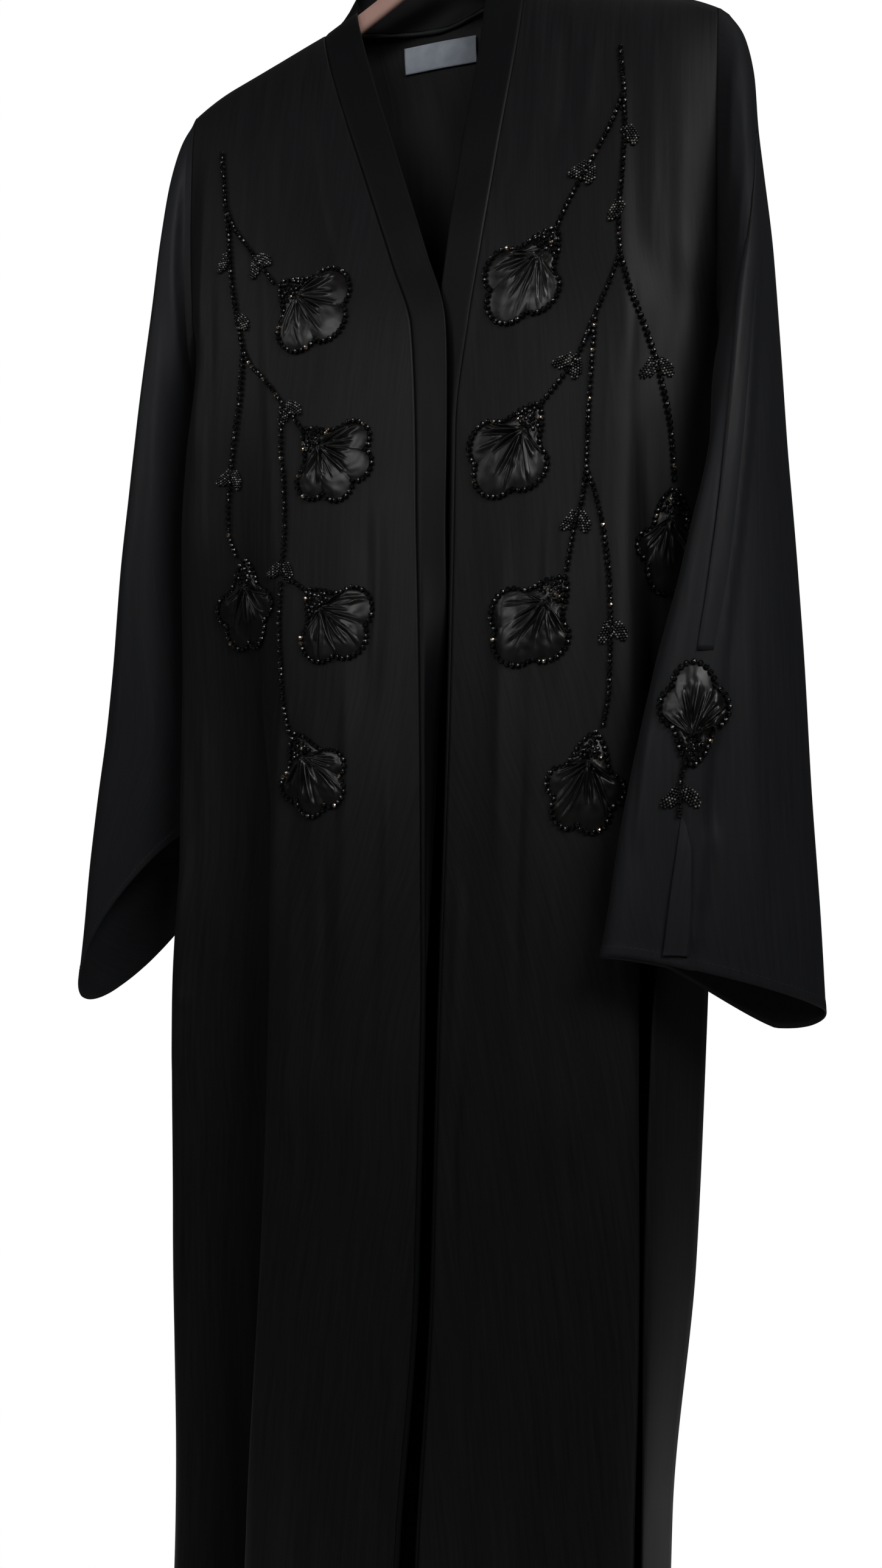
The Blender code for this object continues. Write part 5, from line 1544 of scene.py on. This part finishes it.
def neck_roll(seam, finish):
    """The puckered roll of the seam under the neck band, as it shows inside, in the lighter satin that paints
    a highlight along it.
    """
    run = np.arange(len(seam))
    rows = []
    angles = np.arange(10) * 2 * math.pi / 10
    ends = np.sin(np.pi * (run + 0.5) / len(seam)) ** 0.35
    for index in range(3, len(seam) - 3):
        pucker = 0.18 * math.sin(index * 1.9) + 0.14 * math.sin(index * 0.83)
        radius = NECK_ROLL * ends[index] * (1 + pucker)
        centre = seam[index] + np.array((0, -NECK_ROLL, -0.3 * NECK_ROLL))
        ring = np.stack((np.zeros(len(angles)), np.cos(angles), np.sin(angles)), axis=1)
        rows.append(centre + ring * radius)
    return closed_tube("neck_seam_roll", rows, finish)


def build_sleeve(side, word, creases, seed, finish):
    angles = np.arange(FINE_SLEEVE_ROUND) * 2 * math.pi / FINE_SLEEVE_ROUND
    rings = np.linspace(0, len(side.sleeve_rows), FINE_SLEEVE_RINGS)
    surface = sleeve_surface(side, rings, angles)
    if side is LEFT:
        surface = pressed_pleat(surface, rings, angles)
        inner = soft_step((1 - np.cos(angles)) / 2, 0.5, 1)
        level = surface[:, :, 2] - UNDERARM_SWELL_LEVEL
        surface[:, :, 0] -= UNDERARM_SWELL * inner * np.exp(-(level / UNDERARM_SWELL_REACH) ** 2)
    normals = sleeve_normals(surface)
    shaped = relief(surface, normals, creases, seed, (True, False, False, False))
    name = f"cloth_sleeve_{word}"
    made, outer = add_cloth(name, shaped, normals, finish, hem_rise(shaped), closed_round=True)
    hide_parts(f"sleeve_{word}")
    return made, outer, normals


def pleat_strip(name, strip, tree, finish):
    """The lifted edge of the long pleat on the sleeve, lying along its front."""
    table = np.array(strip)
    levels = np.linspace(table[0, 0], table[-1, 0], PLEAT_ROWS)
    values = smooth(-table[:, 0], table[:, 1:], -levels)
    surface = np.zeros((PLEAT_ROWS, PLEAT_STEPS, 3))
    normals = np.zeros_like(surface)
    for row, (z, (near_x, near_height, far_x, far_height)) in enumerate(zip(levels, values)):
        for column, share in enumerate(np.linspace(0, 1, PLEAT_STEPS)):
            place, normal = seen_at(tree, near_x + share * (far_x - near_x), z)
            height = near_height + share * (far_height - near_height)
            surface[row, column] = place + normal * height
            normals[row, column] = normal
    made, _ = add_cloth(name, surface, normals, finish)
    return made


def hem_line(outer, normals, closed_round):
    """The line of stitches of a hem, a little above the free edge."""
    to_hem = edge_distances(outer)[1]
    line = []
    facing = []
    for column in range(outer.shape[1]):
        order = to_hem[::-1, column]
        row = [np.interp(HEM_DEPTH, order, outer[::-1, column, axis]) for axis in range(3)]
        line.append(row)
        facing.append(normals[-4, column])
    if closed_round:
        line.append(line[0])
        facing.append(facing[0])
    return np.array(line), np.array(facing)


def add_label(finish):
    """The bare label, sewn at both ends below the neck band."""
    x = np.linspace(LABEL_CENTRE_X - LABEL_WIDTH / 2, LABEL_CENTRE_X + LABEL_WIDTH / 2, 49)
    heights = np.linspace(LABEL_TOP_Z, LABEL_TOP_Z - LABEL_HEIGHT, 17)
    across = np.linspace(2, 4, 160)
    surface = np.zeros((len(heights), len(x), 3))
    for row, z in enumerate(heights):
        share = (z - UNDERARM_LEVEL) / (float(back_top(x).mean()) - UNDERARM_LEVEL)
        level = UNDERARM_LEVEL + share * (TOP_LEVEL - UNDERARM_LEVEL)
        cloth = back_surface((level,), across)[0]
        belly = LABEL_BELLY * math.sin(math.pi * row / (len(heights) - 1))
        surface[row, :, 0] = x
        surface[row, :, 1] = np.interp(x, cloth[:, 0], cloth[:, 1]) - LABEL_LIFT - belly
        surface[row, :, 2] = z
    normals = np.zeros_like(surface)
    normals[:, :, 1] = -1
    made, _ = add_cloth("label_tape", surface, normals, finish)
    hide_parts("neck_label")
    return made


def rounded_bar(name, finish):
    """The hanger's two arms as one smooth bar with rounded ends."""
    low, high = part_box("hanger_arms")
    x = np.concatenate((np.linspace(low.x, low.x + 0.02, 14), np.linspace(low.x + 0.024, high.x - 0.024, 90),
                        np.linspace(high.x - 0.02, high.x, 14)))
    tops = arm_top(x)
    around = 28
    rows = []
    for place, top in zip(x, tops):
        from_end = min(place - low.x, high.x - place)
        end = math.sqrt(max(1 - (1 - min(from_end / ARM_END, 1)) ** 2, 0.002))
        half_height = ARM_HEIGHT / 2 * end
        half_depth = ARM_THICKNESS / 2 * end
        ring = []
        for index in range(around):
            angle = 2 * math.pi * index / around
            y = half_depth * math.copysign(abs(math.sin(angle)) ** ARM_ROUNDING, math.sin(angle))
            up = math.copysign(abs(math.cos(angle)) ** ARM_ROUNDING, math.cos(angle))
            z = top - ARM_HEIGHT / 2 + half_height * up
            ring.append((place, y, z))
        rows.append(ring)
    return closed_tube(name, rows, finish)


def closed_tube(name, rows, finish):
    """A solid from rings of points, capped at both ends."""
    around = len(rows[0])
    points = [point for ring in rows for point in ring]
    work = bmesh.new()
    verts = [work.verts.new(point) for point in points]
    for ring in range(len(rows) - 1):
        for index in range(around):
            beside = (index + 1) % around
            a = ring * around + index
            b = ring * around + beside
            work.faces.new((verts[a], verts[b], verts[b + around], verts[a + around]))
    work.faces.new(verts[:around])
    work.faces.new(verts[-around:][::-1])
    bmesh.ops.recalc_face_normals(work, faces=work.faces)
    mesh = bpy.data.meshes.new(name)
    work.to_mesh(mesh)
    work.free()
    mesh.polygons.foreach_set("use_smooth", np.full(len(mesh.polygons), True))
    return link(name, mesh, (finish,))


def wire_hook(name, finish):
    """The wire hook with a rounded tip."""
    wire_radius = HOOK_WIRE / 2
    reach = HOOK_RADIUS + wire_radius
    foot = float(arm_top(np.array((0.0,)))[0]) - 2 * MM
    path = [(0, foot), (0, foot + 0.004), (0, foot + 0.008)]
    bottom = -HOOK_RADIUS - reach
    path.append((0, bottom - 0.004))
    for step in range(1, 49):
        angle = math.radians(-90 + step * 5)
        path.append((reach * math.cos(angle), -HOOK_RADIUS + reach * math.sin(angle)))
    line = np.array([(x, 0, z) for x, z in path])
    tangent = unit(np.gradient(line, axis=0))
    sideways = np.array((0, 1.0, 0))
    around = 20
    rows = []
    turns = 2 * math.pi * np.arange(around) / around

    def ring(place, forward, radius):
        across = np.cross(forward, sideways)
        return [tuple(place + radius * (math.cos(t) * sideways + math.sin(t) * across)) for t in turns]

    for place, forward in zip(line, tangent):
        rows.append(ring(place, forward, wire_radius))
    for share in (0.35, 0.7, 0.94):
        place = line[-1] + tangent[-1] * wire_radius * share
        rows.append(ring(place, tangent[-1], wire_radius * math.sqrt(1 - share * share)))
    return closed_tube(name, rows, finish)


def garment():
    """Every piece of cloth; gives the search trees and the panels that the trimmings lie on."""
    cloth_finish = {name: satin(f"satin_{name}", *look) for name, look in CLOTH_LOOKS.items()}
    band_finish = satin("satin_bands", (0.0042, 0.0045, 0.0053), (0.0068, 0.0072, 0.0083), 0.46, 0.4)
    # Lighter satin for the rolled band edges and the neck seam roll: a painted highlight.
    painted_highlight_finish = satin("satin_fold_painted_highlight", (0.026, 0.027, 0.030), (0.040, 0.041, 0.045), 0.5, 0.4)
    # The black thread of the hem and cuff stitches is coloured lighter than the cloth: painted light along
    # the hems.
    painted_light_thread_finish = thread("black_thread", (0.022, 0.022, 0.024))

    def stitched(name, outer, normals, closed_round=False):
        line = hem_line(outer, normals, closed_round)
        return add_stitches(name, *line, painted_light_thread_finish, "cloth")

    trees = {}
    pieces = {}
    sides = ((RIGHT, "right", RIGHT_FRONT_CREASES, 11), (LEFT, "left", LEFT_FRONT_CREASES, 17))
    for side, word, creases, seed in sides:
        finish = cloth_finish[f"front_{word}"]
        made, outer, shaped, normals, levels = build_front(side, word, creases, seed, finish)
        trees[word] = tree_of(outer)
        pieces[word] = made
        sewn = [stitched(f"hem_stitches_{word}", outer, normals)]
        band, fold = build_band(side, word, shaped, normals, levels, band_finish, painted_highlight_finish)
    back, back_outer, back_plain, back_plain_normals = build_back(cloth_finish["back"])
    sewn = [stitched("hem_stitches_back", back_outer, back_plain_normals)]
    band, band_normals = build_neck_band(back_plain, back_plain_normals)
    neck, _ = add_cloth("cloth_band_neck", band, band_normals, band_finish)
    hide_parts("band_neck")
    roll = neck_roll(band[:, 0], painted_highlight_finish)
    sides = ((RIGHT, "right", RIGHT_SLEEVE_CREASES, 31), (LEFT, "left", LEFT_SLEEVE_CREASES, 37))
    for side, word, creases, seed in sides:
        finish = cloth_finish[f"sleeve_{word}"]
        made, outer, normals = build_sleeve(side, word, creases, seed, finish)
        sewn = [stitched(f"cuff_stitches_{word}", outer, normals, True)]
        if side is LEFT:
            trees["sleeve"] = tree_of(outer)
            pieces["sleeve"] = made
            for part, strip in (("upper", UPPER_PLEAT), ("lower", LOWER_PLEAT)):
                sewn.append(pleat_strip(f"pleat_{part}", strip, trees["sleeve"], finish))
    add_label(woven_label("label_damask"))
    return trees, pieces


def trimmings(trees, pieces):
    """The flowers, the strings of beads and the leaves."""
    petal_finish = organza("petal_organza")
    dark = glass_bead("bead_black", (0.003, 0.003, 0.0035), 0.09)
    bright = glass_bead("bead_bright", (0.34, 0.29, 0.24), 0.10, 1.0)
    seed_dark = glass_bead("seed_black", (0.010, 0.010, 0.011), 0.16)
    seed_bright = glass_bead("seed_bright", (0.22, 0.22, 0.20), 0.22, 0.9)
    draw = np.random.default_rng(3)
    found = {"right": ([], []), "left": ([], []), "sleeve": ([], [])}
    for number, record in enumerate((*FLOWERS, SLEEVE_FLOWER)):
        flower = Flower(record, trees[record[1]])
        flower.panel_piece = pieces[record[1]].name
        add_petals(flower, petal_finish, 100 + number)
        places, sizes = flower_beads(flower, draw)
        found[flower.panel][0].extend(places)
        found[flower.panel][1].extend(sizes)
    for panel, strings in STRINGS.items():
        for points in strings:
            places = string_places(trees[panel], points, BEAD, BEAD_PITCH)
            found[panel][0].extend(places)
            found[panel][1].extend([BEAD] * len(places))
    for number, (panel, (places, sizes)) in enumerate(found.items()):
        add_beads(f"beads_{panel}", places, sizes, (dark, bright), BRIGHT_SHARE, 40 + number)
    for number, (panel, leaves) in enumerate(LEAVES.items()):
        places = []
        for x, z, headings in leaves:
            for heading in headings:
                places.extend(leaf_places(trees[panel], x, z, heading))
        sizes = [SEED_BEAD] * len(places)
        seed = 60 + number
        finishes = (seed_dark, seed_bright)
        add_beads(f"leaves_{panel}", places, sizes, finishes, BRIGHT_SEED_SHARE, seed, 6, 4, True)


def hanger():
    bar = rounded_bar("hanger_bar", moulded("hanger_pink"))
    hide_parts("hanger_arms")
    hook = wire_hook("hanger_wire", drawn_wire("hook_wire"))
    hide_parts("hanger_hook")


def split_by_ray(nodes, links, lit, seen, out):
    """What lights the garment and what is seen straight on, as one surface."""
    rays = nodes.new("ShaderNodeLightPath")
    both = nodes.new("ShaderNodeMixShader")
    links.new(rays.outputs["Is Camera Ray"], both.inputs["Fac"])
    links.new(lit, both.inputs[1])
    links.new(seen, both.inputs[2])
    links.new(both.outputs["Shader"], out.inputs["Surface"])


def studio():
    """A pale floor, an even white surround and soft lights."""
    low, _ = CAD_BOX
    mesh = bpy.data.meshes.new("floor")
    level = low.z - FLOOR_GAP
    corners = [(FLOOR_HALF * x, FLOOR_HALF * y, level) for x, y in ((-1, -1), (1, -1), (1, 1), (-1, 1))]
    mesh.from_pydata(corners, [], [(0, 1, 2, 3)])
    look = Finish("pale_floor")
    look.set("Base Color", (0.8, 0.8, 0.8, 1))
    look.set("Roughness", 0.9)
    white = look.node("Emission", "Emission", {"Color": (1, 1, 1, 1)})
    split_by_ray(look.nodes, look.links, look.shader.outputs["BSDF"], white, look.nodes["Material Output"])
    mesh.materials.append(look.made)
    floor = bpy.data.objects.new("floor", mesh)
    bpy.context.scene.collection.objects.link(floor)
    world = bpy.data.worlds.new("white_surround")
    bpy.context.scene.world = world
    world.use_nodes = True
    nodes = world.node_tree.nodes
    nodes.clear()
    shades = []
    for colour, strength in (((0.96, 0.98, 1.0, 1), SURROUND_STRENGTH), ((1, 1, 1, 1), 1.0)):
        shade = nodes.new("ShaderNodeBackground")
        shade.inputs["Color"].default_value = colour
        shade.inputs["Strength"].default_value = strength
        shades.append(shade.outputs["Background"])
    split_by_ray(nodes, world.node_tree.links, *shades, nodes.new("ShaderNodeOutputWorld"))
    for name, place, target, size, power, spread in LIGHTS:
        light = bpy.data.lights.new(name, "AREA")
        light.shape = "RECTANGLE"
        light.size, light.size_y = size
        light.energy = power
        light.spread = math.radians(spread)
        made = bpy.data.objects.new(name, light)
        made.location = place
        made.rotation_euler = (Vector(target) - Vector(place)).to_track_quat("-Z", "Y").to_euler()
        bpy.context.scene.collection.objects.link(made)
    bpy.context.scene.view_settings.view_transform = "Standard"


def camera():
    data = bpy.data.cameras.new("camera")
    data.sensor_width = SENSOR
    data.lens = SENSOR * FOCAL_PIXELS / max(PICTURE)
    data.clip_start = 0.05
    data.clip_end = 50
    made = bpy.data.objects.new("camera", data)
    made.location = CAMERA_PLACE
    made.rotation_euler = (math.pi / 2, 0, CAMERA_TURN)
    bpy.context.scene.collection.objects.link(made)
    bpy.context.scene.camera = made


camera()
studio()
hanger()
TREES, PIECES = garment()
trimmings(TREES, PIECES)
